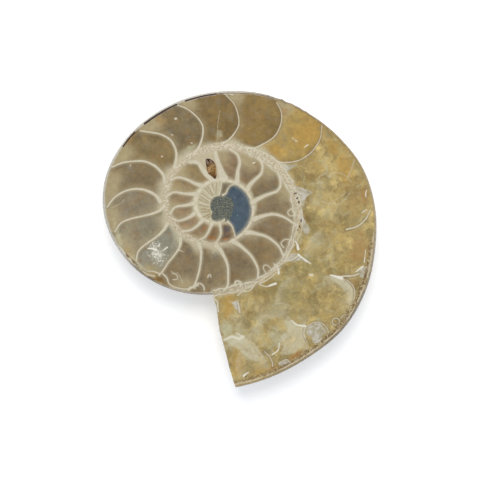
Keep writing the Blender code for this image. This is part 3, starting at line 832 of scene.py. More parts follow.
def face_net(outline, mouth, lines):
    """Triangles between the outline and the mouth, with edges along every line. Gives their points, the
    triangles, and the new index of each input point."""
    around, first = len(outline), len(outline) + len(mouth)
    points, edges = [outline, mouth], closed_ring(0, around) + closed_ring(around, len(mouth))
    for _, line, _ in lines:
        kept = inside(line, outline) & ~inside(line, mouth)
        edges += [(first + k, first + k + 1) for k in np.flatnonzero(kept[:-1] & kept[1:]).tolist()]
        points.append(np.where(kept[:, None], line, mouth.mean(0)))
        first += len(line)
    points = np.concatenate(points)
    grid = hexagonal_grid(outline.min(0), outline.max(0), FACE_STEP)
    grid = grid[inside(grid, outline) & ~inside(grid, mouth)]
    taken = set(map(tuple, np.round(points / LINE_CLEARANCE).astype(int)))
    free = [tuple(cell) not in taken for cell in np.round(grid / LINE_CLEARANCE).astype(int)]
    flat, triangles, origin = triangulate(np.concatenate([points, grid[free]]), edges)
    middles = flat[triangles].mean(1)
    return flat, triangles[inside(middles, outline) & ~inside(middles, mouth)], origin


def add_face(fossil, rim_angles, mouth):
    """The polished face. Gives the vertices of the rim, the aperture's edge and the chamber's mouth,
    then all of its vertices and what they carry."""
    rim, edge = face_edges(rim_angles)
    lines = face_lines()
    flat, triangles, origin = face_net(np.concatenate([rim, edge[::-1]]), mouth, lines)
    ids = fossil.add_verts(lifted(flat, 0.0))
    sheet = flat[triangles] + np.array(FACE_CORNER)
    fossil.add_faces([tuple(t) for t in triangles.tolist()], 0, sheet, **chamber_values(flat, triangles))
    rim_ids, edge_ids, mouth_ids = (
        [origin[start + k] for k in range(len(loop))]
        for start, loop in ((0, rim), (len(rim), edge), (len(rim) + len(edge), mouth))
    )
    return rim_ids, edge_ids[::-1], mouth_ids, ids, face_layers(flat, lines, rim)


def shell_points(angle, radius, depth):
    return lifted(polar(angle + lean(angle, radius), radius), depth)


def back_sections(angles):
    """(radius, depth) grids of the ribbon's outer and inner rows, as in part.py but finer."""
    outside = rim_radius(angles)
    seam = seam_radius(angles)
    turn = 0.5 * math.pi * np.linspace(0, 1, OUTER_ROWS + 1) ** 0.9
    inward = 1 - np.cos(turn)
    reach = CREST_SHARE * (outside - seam)
    wave = np.cos(np.radians(RIBS_PER_WHORL * (angles[:, None] + RIB_SICKLE * np.sin(math.pi * inward))))
    ribs = RIB_HEIGHT * np.sin(math.pi * inward) ** 1.5 * wave
    outer_radius = outside[:, None] - reach[:, None] * inward
    width = along(HALF_WIDTH, angles)[:, None]
    outer_depth = RIM_DEPTH + (width - RIM_DEPTH) * np.sin(turn) + ribs
    crest = np.where(angles >= APERTURE_ANGLE + 360, seam_radius(angles - 360), outside - reach)
    power = 2 / SHOULDER_ROUNDNESS
    turn = 0.5 * math.pi * np.arange(1, INNER_ROWS + 1) / INNER_ROWS
    inner_radius = crest[:, None] + (seam - crest)[:, None] * np.sin(turn) ** power
    low = along(HALF_WIDTH, angles + 360)[:, None]
    inner_depth = low + (width - low) * np.maximum(np.cos(turn), 0) ** power
    return outer_radius, outer_depth, inner_radius, inner_depth


def add_back(fossil, rim_ids):
    """The ribbed back and the umbilicus, one spiral ribbon. Gives its columns of vertices."""
    count = COLUMNS_PER_WHORL
    angles = APERTURE_ANGLE + 360 * np.arange(count * WHORLS_MODELLED + 1) / count
    outer_radius, outer_depth, inner_radius, inner_depth = back_sections(angles)
    columns, places = [], []
    for n, angle in enumerate(angles):
        shown = OUTER_ROWS + (n < count) if n <= count else 0
        radii = np.concatenate([outer_radius[n, :shown], inner_radius[n]])
        depths = np.concatenate([outer_depth[n, :shown], inner_depth[n]])
        points = shell_points(np.full(len(radii), angle), radii, depths)
        points[:, 2] += worn(points, BACK_WEAR) * np.clip(depths / BACK_WEAR_DEPTH, 0, 1)
        points[:, 2] = np.maximum(points[:, 2], FLOOR_CLEARANCE)
        ids = fossil.add_verts(points)
        if n == count:
            ids.insert(OUTER_ROWS, columns[0][-1])
        ids.insert(0, rim_ids[n] if n <= count else columns[n - count][-1])
        columns.append(ids)
        points = np.array([fossil.verts[i] for i in ids])
        flat = points[:, :2] - SPIRAL_CENTRE
        out = np.linalg.norm(flat, axis=1)
        if n <= count:
            lengths = np.linalg.norm(np.diff(points, axis=0), axis=1)
            out = out[-1] + np.append(np.cumsum(lengths[::-1])[::-1], 0)
        places.append(polar(angle_of(flat), out) * (-BACK_SCALE, BACK_SCALE) + BACK_MIDDLE)

    faces, corners = [], []
    for n, (one, other) in enumerate(zip(columns, columns[1:])):
        rows = min(len(one), len(other))
        one, other = one[-rows:], other[-rows:]
        here, there = places[n][-rows:], places[n + 1][-rows:]
        for row in range(rows - 1):
            faces.append((one[row], one[row + 1], other[row + 1], other[row]))
            for place, column, level in (
                (here, n, row), (here, n, row + 1), (there, n + 1, row + 1), (there, n + 1, row),
            ):
                corners.append((*place[level], angles[column], (rows - 1 - level) / (rows - 1)))
    corners = np.array(corners)
    fossil.add_faces(faces, 1, corners[:, :2], growth=corners[:, 2], across=corners[:, 3])
    tip = [ids[-1] for ids in columns[-count - 1:]] + columns[-1][-2:0:-1]
    spots = [place[-1] for place in places[-count - 1:]] + list(places[-1][-2:0:-1])
    fossil.add_faces([tuple(tip[::-1])], 1, spots[::-1])
    return columns


def add_aperture_wall(fossil, columns, edge_ids):
    """The rough broken wall at the aperture, between the ribbon's first and last outer columns."""
    last_outer = columns[COLUMNS_PER_WHORL][:-INNER_ROWS - 1]
    loop = columns[0] + last_outer[::-1] + edge_ids[::-1]
    points = np.array([fossil.verts[i] for i in loop])
    radius = np.linalg.norm(points[:, :2] - SPIRAL_CENTRE, axis=1)
    outline = np.stack([radius, FACE_HEIGHT - points[:, 2]], -1)
    grid = hexagonal_grid(outline.min(0), outline.max(0), FACE_STEP)
    grid = grid[depth_inside(grid, outline) > APERTURE_CLEARANCE]
    made, triangles, origin = triangulate(np.concatenate([outline, grid]), closed_ring(0, len(loop)))
    triangles = triangles[inside(made[triangles].mean(1), outline)]
    place = shell_points(np.full(len(made), APERTURE_ANGLE), made[:, 0], made[:, 1])
    place[:, 0] += worn(place, APERTURE_BUMPS) * np.clip(closed_distance(made, outline), 0, 1)
    ids = np.array(fossil.add_verts(place))
    for k, vertex in enumerate(loop):
        ids[origin[k]] = vertex
    triangles = triangles[:, ::-1]
    faces = [tuple(t) for t in ids[triangles].tolist()]
    fossil.add_faces(faces, 2, made[triangles] + np.array(APERTURE_CORNER))


def mouth_outline():
    return closed_spline(CHAMBER_MOUTH, MARK_STEP)


def chamber_ring(mouth, depth, inset=0.0):
    """The open chamber's outline at this depth, in mm in the part's frame."""
    middle = np.mean(CHAMBER_MOUTH, axis=0)
    spokes = (mouth - middle) * along(CHAMBER_RINGS, depth)
    length = np.linalg.norm(spokes, axis=1, keepdims=True)
    return lifted(middle + spokes * np.maximum(length - inset, 0.1 * length) / length, depth)


def add_chamber_wall(fossil, mouth, mouth_ids):
    """The hollow of the open chamber, going down from its mouth."""
    rings = [mouth_ids]
    for depth in np.linspace(0, CHAMBER_RINGS[-1][0], CHAMBER_ROWS + 1)[1:]:
        ring = chamber_ring(mouth, depth)
        ring[:, :2] += worn(ring, CHAMBER_WEAR)[:, None]
        rings.append(fossil.add_verts(ring))
    faces, sheet = [], []
    for level, (one, other) in enumerate(zip(rings, rings[1:])):
        for k, after in closed_ring(0, len(mouth)):
            faces.append((one[k], other[k], other[after], one[after]))
            u, v = 0.3 * k, 0.4 * level
            sheet += [(u, v), (u, v + 0.4), (u + 0.3, v + 0.4), (u + 0.3, v)]
    faces.append(tuple(rings[-1]))
    sheet += [(2 + 0.5 * math.cos(k), 8 + 0.5 * math.sin(k)) for k in range(len(mouth))]
    fossil.add_faces(faces, 3, np.array(sheet) + np.array(CHAMBER_CORNER))


def store(mesh, name, domain, values):
    """Keeps a number or a colour for each vertex or each corner of the mesh."""
    kind, field = ("FLOAT", "value") if values.ndim == 1 else ("FLOAT_COLOR", "color")
    mesh.attributes.new(name, kind, domain).data.foreach_set(field, values.ravel())


def build_fossil():
    """The fine mesh of the fossil, with everything that its materials read."""
    fossil = Fossil()
    rim_angles = APERTURE_ANGLE + 360 * np.arange(COLUMNS_PER_WHORL + 1) / COLUMNS_PER_WHORL
    mouth = mouth_outline()
    rim_ids, edge_ids, mouth_ids, face_ids, layers = add_face(fossil, rim_angles, mouth)
    columns = add_back(fossil, rim_ids)
    add_aperture_wall(fossil, columns, edge_ids)
    add_chamber_wall(fossil, mouth, mouth_ids)

    points = np.array(fossil.verts)
    piece = add_piece("ammonite_fine", points * MM, fossil.faces)
    mesh = piece.data
    mesh.polygons.foreach_set("material_index", fossil.looks)
    sheet = np.concatenate(fossil.sheet) / SHEET
    mesh.uv_layers.new(name="OFBake").data.foreach_set("uv", sheet.ravel())
    for name, (first, block) in fossil.corners.items():
        values = np.zeros((len(mesh.loops), *block.shape[1:]))
        values[first:first + len(block)] = block
        store(mesh, name, "CORNER", values)
    for name, layer in layers.items():
        values = np.full(len(points), OUTSIDE)
        values[face_ids] = layer
        store(mesh, name, "POINT", values)
    angles, greys, browns = np.array(RIM_TONES, float).T
    around = first_turn(points[:, :2] - SPIRAL_CENTRE)
    for name, tones in (("rim_grey", greys), ("rim_brown", browns)):
        store(mesh, name, "POINT", np.interp(around, angles, tones))
    mesh.shade_smooth()
    mesh.set_sharp_from_angle(angle=SMOOTH_BELOW)
    return piece


# Materials

def seen(*levels):
    """The surface colour that shows as this screen colour, of three levels from 0 to 255, under the
    scene's light and gloss. The first step is the usual curve between screen and light."""
    shares = (level / 255 for level in levels)
    linear = (c / 12.92 if c < 0.0404 else ((c + 0.055) / 1.055) ** 2.4 for c in shares)
    return tuple(max((c - GLOSS_VEIL) / LIGHT_LEVEL, 0.004) for c in linear) + (1.0,)


class Value:
    """What a shader node gives. Sums and products of values add nodes of their own."""

    def __init__(self, graph, socket):
        self.graph, self.socket = graph, socket

    def __add__(self, other):
        return self.graph.math("ADD", self, other)

    def __mul__(self, other):
        return self.graph.math("MULTIPLY", self, other)

    def __sub__(self, other):
        return self.graph.math("SUBTRACT", self, other)

    def __rsub__(self, other):
        return self.graph.math("SUBTRACT", other, self)

    def step(self, low, high):
        """0 below low, 1 above high, smooth between. It falls if low is above high."""
        ends = (low, high, 0.0, 1.0) if low < high else (high, low, 1.0, 0.0)
        return self.graph.ranged(self, ends, "SMOOTHSTEP")


class Graph:
    """Shader nodes, written as plain calls. A colour can be a value or a name in COLOURS."""

    def __init__(self, name):
        self.material = bpy.data.materials.new(name)
        self.material.use_nodes = True
        self.tree = self.material.node_tree
        self.shader = self.tree.nodes["Principled BSDF"]
        self.place = self.vector("SCALE", self.node("TexCoord", "Object"), 1 / MM)

    def __getitem__(self, name):
        """A number that the mesh carries."""
        return self.node("Attribute", "Fac", attribute_name=name)

    def node(self, kind, output=0, inputs=(), **settings):
        """One output of a new node. Its inputs are given by name or number."""
        made = self.tree.nodes.new("ShaderNode" + kind)
        for name, setting in settings.items():
            setattr(made, name, setting)
        for key, value in dict(inputs).items():
            self.feed(made.inputs[key], value)
        return Value(self, made.outputs[output])

    def feed(self, socket, value):
        if isinstance(value, Value):
            self.tree.links.new(value.socket, socket)
        else:
            socket.default_value = seen(*COLOURS[value]) if isinstance(value, str) else value

    def look(self, colour, rough):
        self.feed(self.shader.inputs["Base Color"], colour)
        self.feed(self.shader.inputs["Roughness"], rough)

    def math(self, operation, *values, clamp=False):
        return self.node("Math", 0, enumerate(values), operation=operation, use_clamp=clamp)

    def vector(self, operation, value, other):
        inputs = {0: value, "Scale" if operation == "SCALE" else 1: other}
        output = 1 if operation == "DOT_PRODUCT" else 0
        return self.node("VectorMath", output, inputs, operation=operation)

    def ranged(self, value, ends, interpolation="LINEAR"):
        names = ("From Min", "From Max", "To Min", "To Max")
        inputs = {"Value": value, **dict(zip(names, ends))}
        return self.node("MapRange", "Result", inputs, interpolation_type=interpolation)

    def moved(self, offset, where=None):
        return self.vector("ADD", where or self.place, offset)

    def warped(self, size, distance_mm):
        """Places shifted by noise of this size, as far as the distance."""
        return self.moved(self.vector("SCALE", self.node("TexNoise", "Color", self.at(size)), distance_mm))

    def at(self, size, where=None):
        """Inputs of a texture of this size in mm, at places or moved by an offset."""
        where = self.moved(where) if isinstance(where, tuple) else where or self.place
        return {"Vector": where, "Scale": 1 / size}

    def noise(self, size, detail=3.0, rough=0.55, where=None, bend=0.0):
        """Noise from 0 to 1 with features of this size in mm."""
        inputs = {**self.at(size, where), "Detail": detail, "Roughness": rough, "Distortion": bend}
        return self.node("TexNoise", 0, inputs)

    def cells(self, size, where=None, output="Distance", feature="F1"):
        return self.node("TexVoronoi", output, self.at(size, where), feature=feature)

    def shades(self, size, where):
        """Cells of this size in mm, each with a number of its own from 0 to 1."""
        return self.node("SeparateColor", 0, {0: self.cells(size, where, "Color")})

    def facets(self, size, where):
        """Cells of this size in mm that each run from -0.5 to 0.5 in a direction of their own."""
        made = self.cells(size, where, "Position")
        from_middle = self.vector("SUBTRACT", where, made)
        colour = Value(self, made.socket.node.outputs["Color"])
        direction = self.vector("SUBTRACT", colour, (0.5, 0.5, 0.5))
        return self.math("DIVIDE", self.vector("DOT_PRODUCT", from_middle, direction), size)

    def streaks(self, domain, width, length):
        """Fibres from 0 to 1, of this width and length, in domains that each point their own way."""
        angle = self.shades(domain, self.warped(0.6 * domain, domain)) * (2 * math.pi)
        inputs = {"Vector": self.place, "Angle": angle}
        turned = self.node("VectorRotate", 0, inputs, rotation_type="Z_AXIS")
        stretched = self.vector("MULTIPLY", turned, (1 / width, 1 / length, 1 / width))
        return self.noise(1.0, 4, 0.6, stretched, 0.3)

    def lay(self, base, colour, share, most=1.0):
        """The base with a colour laid over it, by the share times the most."""
        share = share if most == 1.0 else share * most
        return self.node("Mix", 2, {0: share, 6: base, 7: colour}, data_type="RGBA")

    def shaded(self, colour, low, high, share, ends=NOISE_ENDS):
        """The colour times low where the share is at its first end, and times high at the other."""
        colour = seen(*COLOURS[colour])[:3] if isinstance(colour, str) else colour
        return self.vector("SCALE", colour, self.ranged(share, (*ends, low, high)))

    def bump(self, height, distance_mm, strength=1.0):
        inputs = {"Strength": strength, "Distance": distance_mm * MM, "Height": height}
        self.feed(self.shader.inputs["Normal"], self.node("Bump", 0, inputs))


def chamber_fill(g, tint, middle):
    """Brown calcite of the chambers: dark behind the front septum, with soft clouds."""
    fill = g.shaded(tint, 0.77, 1.22, g.noise(4.4, 4, 0.55, bend=0.5))
    fill = g.shaded(fill, 0.87, 1.13, middle)
    fill = g.shaded(fill, 0.94, 1.06, g.noise(0.55, 4, 0.6, (2, 3, 0)))
    fill = g.shaded(fill, 0.9, 1.1, g.facets(5.0, g.warped(2.2, 4.0)), FACET_ENDS)
    fill = g.shaded(fill, 0.84, 1.0, g["behind"] * 0.36)
    fill = g.lay(fill, "grey", g.noise(2.4, 5, 0.6, (5, 50, 0), 0.3).step(0.46, 0.76), 0.28)
    fill = g.lay(fill, "chamber_warm", g.noise(3.0, 5, 0.6, (60, 5, 0), 0.3).step(0.46, 0.7), 0.4)
    flecks = g.cells(0.9, (1, 2, 0)).step(0.12, 0.06) * g.noise(2.8, 2, 0.5, (12, 61, 0)).step(0.5, 0.62)
    return g.lay(fill, "wedge_pale", flecks, 0.5)


def wedge_fill(g, fill, middle, wander, open_part):
    """Lays the paler calcite over the corners that a chamber's next septum leaves, and by its walls."""
    floor = g["floor"] * (g["inner"] * 1.6 + 1.0)
    low = floor.step(6.0, 1.6)
    high = g.math("MULTIPLY", g["roof"].step(8.0, 2.4), g["outer_end"], clamp=True)
    colour = g.lay(g.lay("wedge", "wedge_pale", low), "wedge_gold", high)
    colour = g.shaded(colour, 0.9, 1.1, middle)
    colour = g.shaded(colour, 0.9, 1.08, g.noise(3.0, 4, 0.6, (20, 44, 0), 0.8))
    edge = low * 2.0 + (wander * 2.6 + g["wedge"]) + g["reach"]
    corner = edge.step(-1.8, 2.2) * g.math("MAXIMUM", low * g["foot"], high)
    wedge = g.math("MAXIMUM", corner, g["ahead"].step(2.8, 0.2) * 0.4)
    fill = g.lay(fill, colour, wedge * open_part, 0.9)
    fill = g.lay(fill, "wedge", g["behind"].step(1.3, 0.3) * g["halo"] * open_part, 0.5)
    return g.lay(fill, "wedge_pale", floor.step(2.4, 0.8) * g["foot"] * open_part, 0.7)


def body_fill(g, tint):
    """Honey-coloured calcite of the body chamber: crystals of many sizes, each of its own shade."""
    warped = g.moved((-2.25, -2.25, -2.25), g.warped(2.6, 4.5))
    body = g.shaded(tint, 0.82, 1.16, g.noise(7.0, 3, 0.5, (3, 17, 0), 1.0))
    for size in (5.0, 2.2):
        body = g.shaded(body, 0.87, 1.13, g.shades(size, warped), (0.0, 1.0))
    for size in (6.5, 3.4):
        body = g.shaded(body, 0.8, 1.2, g.facets(size, g.moved((7 * size, 2, 0), warped)), FACET_ENDS)
    body = g.shaded(body, 0.85, 1.14, g.streaks(6.0, 0.45, 3.6))
    for size, low, colour, most in (
        (6.4, 0.5, "body_gold", 0.3), (4.8, 0.52, "body_brown", 0.5), (3.8, 0.54, "pale", 0.4),
    ):
        cloud = g.noise(size, 4, 0.52, g.moved((9 * size, 33, 0), warped), 0.8)
        body = g.lay(body, colour, cloud.step(low, low + 0.14), most)
    edge = g.cells(3.0, warped, feature="DISTANCE_TO_EDGE").step(0.05, 0.0)
    return g.lay(body, "cream_shade", edge * g.noise(4.0, 2, 0.5, (2, 90, 0)).step(0.46, 0.58), 0.35)


def add_patches(g, fill, middle):
    """Lays soft patches of other colours, broken up by noise, specks, and painted highlights of sparkling
    crystals.
    """
    broken = g.noise(1.6, 5, 0.62, (70, 20, 0), 0.8) - 0.5
    for kind in PATCH_COLOURS:
        patch = g["patch_" + kind]
        strength = (broken * 1.1 + patch) * patch.step(0.02, 0.2)
        fill = g.lay(fill, g.shaded(kind, 0.84, 1.16, middle), strength.step(0.2, 0.9), 0.8)
    sparks = g.cells(0.5, (4, 7, 0)).step(0.2, 0.1) * g["patch_speck"].step(0.15, 0.6)
    fill = g.lay(fill, "cream", sparks, 0.6)
    # Painted highlights: sparkles of small crystals, laid white over the sparkle patch.
    sparkle = g["patch_sparkle"]
    painted_sparkles = (sparkle * 0.16 + g.noise(0.7, 4, 0.75, (14, 70, 0), 1.2)).step(0.58, 0.66)
    return g.lay(fill, "white", painted_sparkles * sparkle.step(0.05, 0.4), 0.75)


def add_flakes(g, fill, wander):
    """Lays crystal faces that catch the light, and grey translucent flakes."""
    folds = g.noise(2.6, 7, 0.65, (17, 5, 0), 2.0).step(0.3, 0.62)
    fill = g.lay(fill, "veil", g["veil"] * (folds * 0.8 + 0.25), 0.8)
    fill = g.lay(fill, "veil", (wander * 0.9 + g["veil_flake"]).step(-0.15, 0.25) * (folds * 0.4 + 0.2))
    haze = g.lay("flake_shade", "flake_grey", g.noise(2.0, 5, 0.6, (7, 7, 0), 0.8).step(0.34, 0.62))
    return g.lay(fill, haze, (wander * 0.7 + g["flake"]).step(-0.2, 0.35), 0.88)


def add_middle(g, fill, wander, grain):
    """Lays the dark chamber and the mottled first whorls."""
    slate = g.lay("slate_dark", "slate_light", g.noise(2.0, 5, 0.6))
    slate = g.shaded(slate, 0.84, 1.16, grain)
    slate = g.lay(slate, "slate_speck", g.cells(1.15, (9, 9, 0)).step(0.17, 0.07), 0.85)
    fill = g.lay(fill, slate, g["slate"])
    mottled = g.lay("first_dark", "first_light", g.noise(0.5, 5, 0.85).step(0.4, 0.62))
    mottled = g.lay(mottled, "first_gold", g.noise(1.2, 4, 0.7, (3, 3, 0)).step(0.55, 0.68), 0.28)
    return g.lay(fill, mottled, (wander * 0.5 + g["blob"]).step(-0.12, 0.12))


def add_bands(g, fill, wander, ragged, granules):
    """Lays the shell bands between the whorls: granular, and smooth further in."""
    shell = g.lay("band_dark", "band_light", granules)
    shell = g.shaded(shell, 0.9, 1.1, g.noise(1.7, 3, 0.6, (6, 1, 0)))
    fill = g.lay(fill, "wedge_pale", g["band"].step(-1.5, 0.1), 0.45)
    fill = g.lay(fill, shell, ragged.step(-0.5, 0.35), 0.88)
    return g.lay(fill, "cream", (wander * 0.3 + g["wall"]).step(-0.3, 0.2), 0.9)


def add_lines(g, fill, wander):
    """Lays the septa, with a shade or a glow beside them, and the other thin lines, among them painted
    glints.
    """
    for layer, colour, low, high, most in (
        ("slot", "slot", -0.2, 0.1, 0.75), ("pale", "wedge_pale", -0.25, 0.05, 0.45),
        ("brown", "edge_brown", -0.12, 0.08, 0.9),
    ):
        fill = g.lay(fill, colour, (wander * 0.7 + g[layer]).step(low, high), most)
    cream, inner = g["cream"], g["inner"]
    outer = (1.0 - inner) * g["floor"].step(2.0, 5.0)
    fill = g.lay(fill, "edge_brown", cream.step(-0.65, -0.2) * outer, 0.3)
    glow = g.math("MAXIMUM", inner, g["halo"]) * 0.4 + 0.1
    fill = g.lay(fill, "cream_shade", cream.step(-0.9, 0.05) * glow)
    septum = g.lay("cream_shade", "cream_bright", g.noise(0.9, 5, 0.7))
    fill = g.lay(fill, septum, (wander * 0.24 + cream).step(-0.17, 0.1))
    fill = g.lay(fill, "edge_brown", g["bead"].step(-0.05, 0.06), 0.5)
    # Painted highlights: the glints in bright cream; the white marks are shards of shell and painted glints.
    fill = g.lay(fill, "cream_bright", (wander * 0.5 + g["glint"]).step(-0.35, 0.25), 0.85)
    return g.lay(fill, "white", (wander * 0.3 + g["white"]).step(-0.12, 0.12))


def add_rim(g, fill, wander):
    """Lays the seam of grains under the rim, the rim, its lip, and painted shade in its gap and in pits."""
    patchy = g.noise(2.4, 4, 0.6, (33, 66, 0)) - 0.5
    brown, edge = g["rim_brown"], g["seam"]
    grains = g.noise(0.9, 5, 0.7, (90, 8, 0), 1.5).step(0.47, 0.6)
    seam_colour = g.lay(g.lay("body_brown", "edge_brown", brown), "seam_light", grains)
    seam = patchy * 2.6 + (wander * 1.2 + edge)
    fill = g.lay(fill, seam_colour, seam.step(-0.4, 0.5), 0.85)
    tone = g.lay("rim_gold", "rim_dark", brown)
    tone = g.lay(tone, "rim_gold", patchy.step(0.0, 0.12))
    tone = g.lay(tone, "rim_grey", g["rim_grey"])
    rim = wander * 0.6 + g["rim"]
    fill = g.lay(fill, tone, rim.step(RIM_SHELL + 0.3, RIM_SHELL - 0.3), 0.85)
    lip = rim.step(1.0, 0.72) * rim.step(0.3, 0.5) * edge.step(-1.2, -0.4)
    fill = g.lay(fill, "cream", lip * g.noise(3.5, 3, 0.6, (50, 2, 0)).step(0.3, 0.55), 0.7)
    # The dark gap and the pits are painted shade, laid in a dark colour.
    return g.lay(fill, "gap_painted_shade", (wander * 0.16 + g["dark"]).step(-0.09, 0.09))


def face_material():
    """Polished calcite: chambers, septa, shell bands and marks of the cut face."""
    g = Graph("polished_calcite")
    tint = g.node("Attribute", "Color", attribute_name="tint")
    middle = g.noise(1.3, 4, 0.55, (31, 7, 0), 0.5)
    grain = g.noise(0.35, 3, 0.6)
    wander = g.noise(0.9, 4, 0.62, (11, 3, 0)) - 0.5

    closed = g.math("ADD", g["body"] + g["slate"], g["plain"], clamp=True)
    fill = g.lay(chamber_fill(g, tint, middle), g.shaded(tint, 0.86, 1.08, middle), g["plain"])
    fill = wedge_fill(g, fill, middle, wander, 1.0 - closed)
    fill = g.lay(fill, body_fill(g, tint), g["body"])
    fill = add_patches(g, fill, middle)
    fill = add_flakes(g, fill, wander)
    fill = add_middle(g, fill, wander, grain)
    ragged = (grain - 0.5) * 0.6 + (wander * 1.4 + g["band"])
    granules = g.noise(0.62, 5, 0.7, (2, 8, 0), 0.6).step(0.36, 0.62)
    fill = add_bands(g, fill, wander, ragged, granules)
    fill = add_lines(g, fill, wander)
    fill = add_rim(g, fill, wander)

    in_band = ragged.step(-0.2, 0.3)
    g.look(fill, middle * 0.06 + (in_band * 0.16 + 0.14))
    g.bump(granules * (in_band * 0.25) + g["dark"].step(0.2, -0.1), 0.12, 0.5)
    return g.material


def shell_material():
    """The natural outer shell of the back: growth lines, brown stains and a little nacre."""
    g = Graph("outer_shell")
    wobble = g.noise(3.0, 4, 0.6) * 0.05 + g["growth"] * math.radians(1)
    lines = g.math("SINE", wobble * 150.0) * 0.3 + g.math("SINE", wobble * 410.0) * 0.2 + 0.5
    base = g.lay("shell_dark", "shell_light", g.noise(9.0, 4, 0.6))
    base = g.lay(base, "shell_stain", g.noise(5.0, 5, 0.65, (40, 5, 9)).step(0.5, 0.66))
    base = g.lay(base, "shell_nacre", g.noise(7.0, 4, 0.6, (4, 80, 2)).step(0.6, 0.75))
    base = g.shaded(base, 0.84, 1.12, lines)
    base = g.shaded(base, 0.85, 1.12, g.noise(0.6, 4, 0.6))
    tone = g.lay(g.lay("rim_gold", "rim_dark", g["rim_brown"]), "rim_grey", g["rim_grey"])
    worn = g.noise(2.6, 4, 0.65, (21, 2, 60)) * 0.16 + g["across"]
    base = g.lay(base, g.shaded(tone, 0.8, 1.08, lines), worn.step(0.95, 1.04), 0.8)
    g.look(base, g.noise(2.0, 3, 0.6) * 0.25 + 0.3)
    g.bump(g.noise(0.7, 4, 0.6) * 0.6 + lines, 0.12, 0.6)
    return g.material


def broken_material():
    """Broken calcite at the aperture."""
    g = Graph("broken_calcite")
    base = g.lay("broken_dark", "broken_light", g.noise(3.2, 5, 0.65, bend=0.6))
    base = g.lay(base, "broken_pale", g.noise(1.4, 5, 0.7, (5, 5, 5)).step(0.52, 0.66))
    base = g.lay(base, "broken_stain", g.noise(2.2, 4, 0.6, (9, 1, 5)).step(0.58, 0.7))
    g.look(base, g.noise(1.0) * 0.3 + 0.35)
    g.bump(g.noise(0.8, 5, 0.7), 0.35, 0.7)
    return g.material


def chamber_material():
    """The wall of the open chamber, stained brown."""
    g = Graph("chamber_wall")
    g.look(g.lay("hollow_dark", "hollow_light", g.noise(0.6, 4, 0.6)), 0.45)
    g.bump(g.noise(0.3, 4, 0.6), 0.2, 0.6)
    return g.material


def crystal_material():
    """Amber-brown calcite crystals, with painted shade to the left and at both ends of the hollow."""
    g = Graph("amber_crystals")
    across = g.vector("DOT_PRODUCT", g.place, (1, 0, 0))
    upward = g.vector("DOT_PRODUCT", g.place, (0, 1, 0))
    # Painted shade: darker to the left of the hollow and at both of its ends.
    share = across.step(-11.8, -9.5) * 0.65 + g.noise(1.4, 3, 0.6) * 0.45
    base = g.lay("amber_dark", "amber_light", share)
    base = g.lay(base, "amber_pale", g.noise(0.7, 3, 0.6, (4, 4, 4)).step(0.58, 0.72))
    ends = g.math("MAXIMUM", upward.step(23.6, 26.0), upward.step(22.2, 20.6))
    g.look(g.lay(base, "amber_painted_shade", ends, 0.75), 0.4)
    return g.material


# The crust of crystals

def crystal(verts, faces, base, direction, size, length, turn):
    """Adds one six-sided pointed crystal."""
    side = direction.orthogonal().normalized()
    other = direction.cross(side)
    first = len(verts)
    for along_it, wide in ((-0.3, 1.0), (0.55, 0.92)):
        for k in range(6):
            angle = turn + k * math.pi / 3
            out = side * math.cos(angle) + other * math.sin(angle)
            verts.append(base + direction * length * along_it + out * 0.5 * size * wide)
    verts.append(base + direction * length)
    faces.append(tuple(first + k for k in reversed(range(6))))
    for k, after in closed_ring(first, 6):
        faces += [(k, after, after + 6, k + 6), (k + 6, after + 6, first + 12)]


def build_crystals():
    """The crust of the open chamber: a lining, with small crystals standing on it."""
    rng = np.random.default_rng(CRYSTAL_SEED)
    mouth = mouth_outline()
    deepest = CHAMBER_RINGS[-1][0] - CRUST_GAP
    share = np.linspace(0, 1, LINING_ROWS)
    depths = CRUST_TOP_DEPTH + (deepest - CRUST_TOP_DEPTH) * np.sin(0.5 * math.pi * share)
    rings = [chamber_ring(mouth, depth, CRUST_GAP) for depth in depths]
    lining = []
    for ring, rise in zip(rings, share):
        spokes = ring[:, :2].mean(0) - ring[:, :2]
        length = np.linalg.norm(spokes, axis=1, keepdims=True)
        inward = spokes * np.minimum(CRUST_THICKNESS / length, 0.6)
        lining.append(ring + np.pad(inward, ((0, 0), (0, 1)), constant_values=CRUST_THICKNESS * rise))
    verts = [Vector(p) for ring in rings[::-1] + lining for p in ring]
    count = len(mouth)
    faces = [tuple(range(count)), tuple(reversed(range(len(verts) - count, len(verts))))]
    for level in range(2 * LINING_ROWS - 1):
        faces += [(k, k + count, after + count, after) for k, after in closed_ring(level * count, count)]
    middle = Vector((*(np.mean(CHAMBER_MOUTH, axis=0) + SPIRAL_CENTRE), FACE_HEIGHT - CRYSTAL_AIM_DEPTH))
    for _ in range(CRYSTAL_COUNT):
        row = rng.uniform(0.0, LINING_ROWS - 1.01)
        k = rng.integers(count)
        low, high = lining[int(row)][k], lining[int(row) + 1][k]
        base = Vector(low + (high - low) * (row % 1))
        tilt = Vector(rng.normal(0, CRYSTAL_TILT, 3)) + Vector((0, 0, CRYSTAL_RISE))
        direction = ((middle - base).normalized() + tilt).normalized()
        size = rng.uniform(*CRYSTAL_WIDTH)
        length = size * rng.uniform(*CRYSTAL_LENGTH)
        crystal(verts, faces, base, direction, size, length, rng.uniform(0, 1))
    for spot in verts:
        spot.z = min(spot.z, FACE_HEIGHT - CRYSTAL_TOP_DEPTH)
    return add_piece("chamber_crystals_fine", [spot * MM for spot in verts], faces)


# The studio

def add_object(name, data):
    made = bpy.data.objects.new(name, data)
    bpy.context.scene.collection.objects.link(made)
    return made


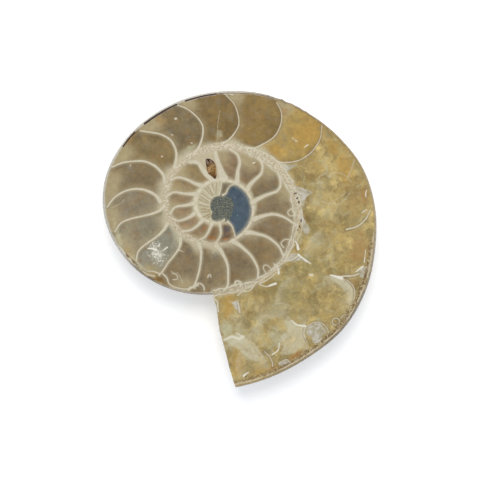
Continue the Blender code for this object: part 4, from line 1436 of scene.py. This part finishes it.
def add_piece(name, points, faces):
    mesh = bpy.data.meshes.new(name)
    mesh.from_pydata([tuple(p) for p in points], [], faces)
    return add_object(name, mesh)


def add_floor():
    half = 0.5 * FLOOR_SIZE
    corners = [(-half, -half, 0), (half, -half, 0), (half, half, 0), (-half, half, 0)]
    floor = add_piece("floor", corners, [(0, 1, 2, 3)])
    look = bpy.data.materials.new("floor_white")
    look.use_nodes = True
    shader = look.node_tree.nodes["Principled BSDF"]
    for name, value in (
        ("Base Color", FLOOR_COLOUR), ("Roughness", 0.9),
        ("Emission Color", (1.0, 1.0, 1.0, 1.0)), ("Emission Strength", FLOOR_GLOW),
    ):
        shader.inputs[name].default_value = value
    floor.data.materials.append(look)


def add_lights():
    world = bpy.data.worlds.new("studio")
    world.use_nodes = True
    sky = world.node_tree.nodes["Background"]
    sky.inputs["Color"].default_value = SKY_COLOUR
    sky.inputs["Strength"].default_value = SKY_STRENGTH
    bpy.context.scene.world = world
    lamp = bpy.data.lights.new("window", "AREA")
    lamp.shape = "SQUARE"
    lamp.size = WINDOW_SIZE
    lamp.energy = WINDOW_POWER
    lamp.color = WINDOW_COLOUR
    window = add_object("window", lamp)
    window.location = WINDOW_PLACE
    window.rotation_euler = (-Vector(WINDOW_PLACE)).to_track_quat("-Z", "Y").to_euler()


def add_camera():
    lens = bpy.data.cameras.new("camera")
    lens.lens = CAMERA_LENS
    lens.sensor_width = CAMERA_SENSOR
    lens.clip_start = 0.01
    camera = add_object("camera", lens)
    rise = FRAME_WIDTH * CAMERA_LENS / CAMERA_SENSOR
    camera.location = Vector((*FRAME_MIDDLE, FACE_HEIGHT + rise)) * MM
    bpy.context.scene.camera = camera
    bpy.context.scene.view_settings.view_transform = "Standard"


def main():
    fossil, crystals = build_fossil(), build_crystals()
    for look in (face_material(), shell_material(), broken_material(), chamber_material()):
        fossil.data.materials.append(look)
    crystals.data.materials.append(crystal_material())
    for piece, node, slot in (
        (fossil, "ammonite_half", "polished_calcite"),
        (crystals, "chamber_crystals", "amber_crystals"),
    ):
        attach(piece, "root")
        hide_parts(node)
    add_floor()
    add_lights()
    add_camera()


main()
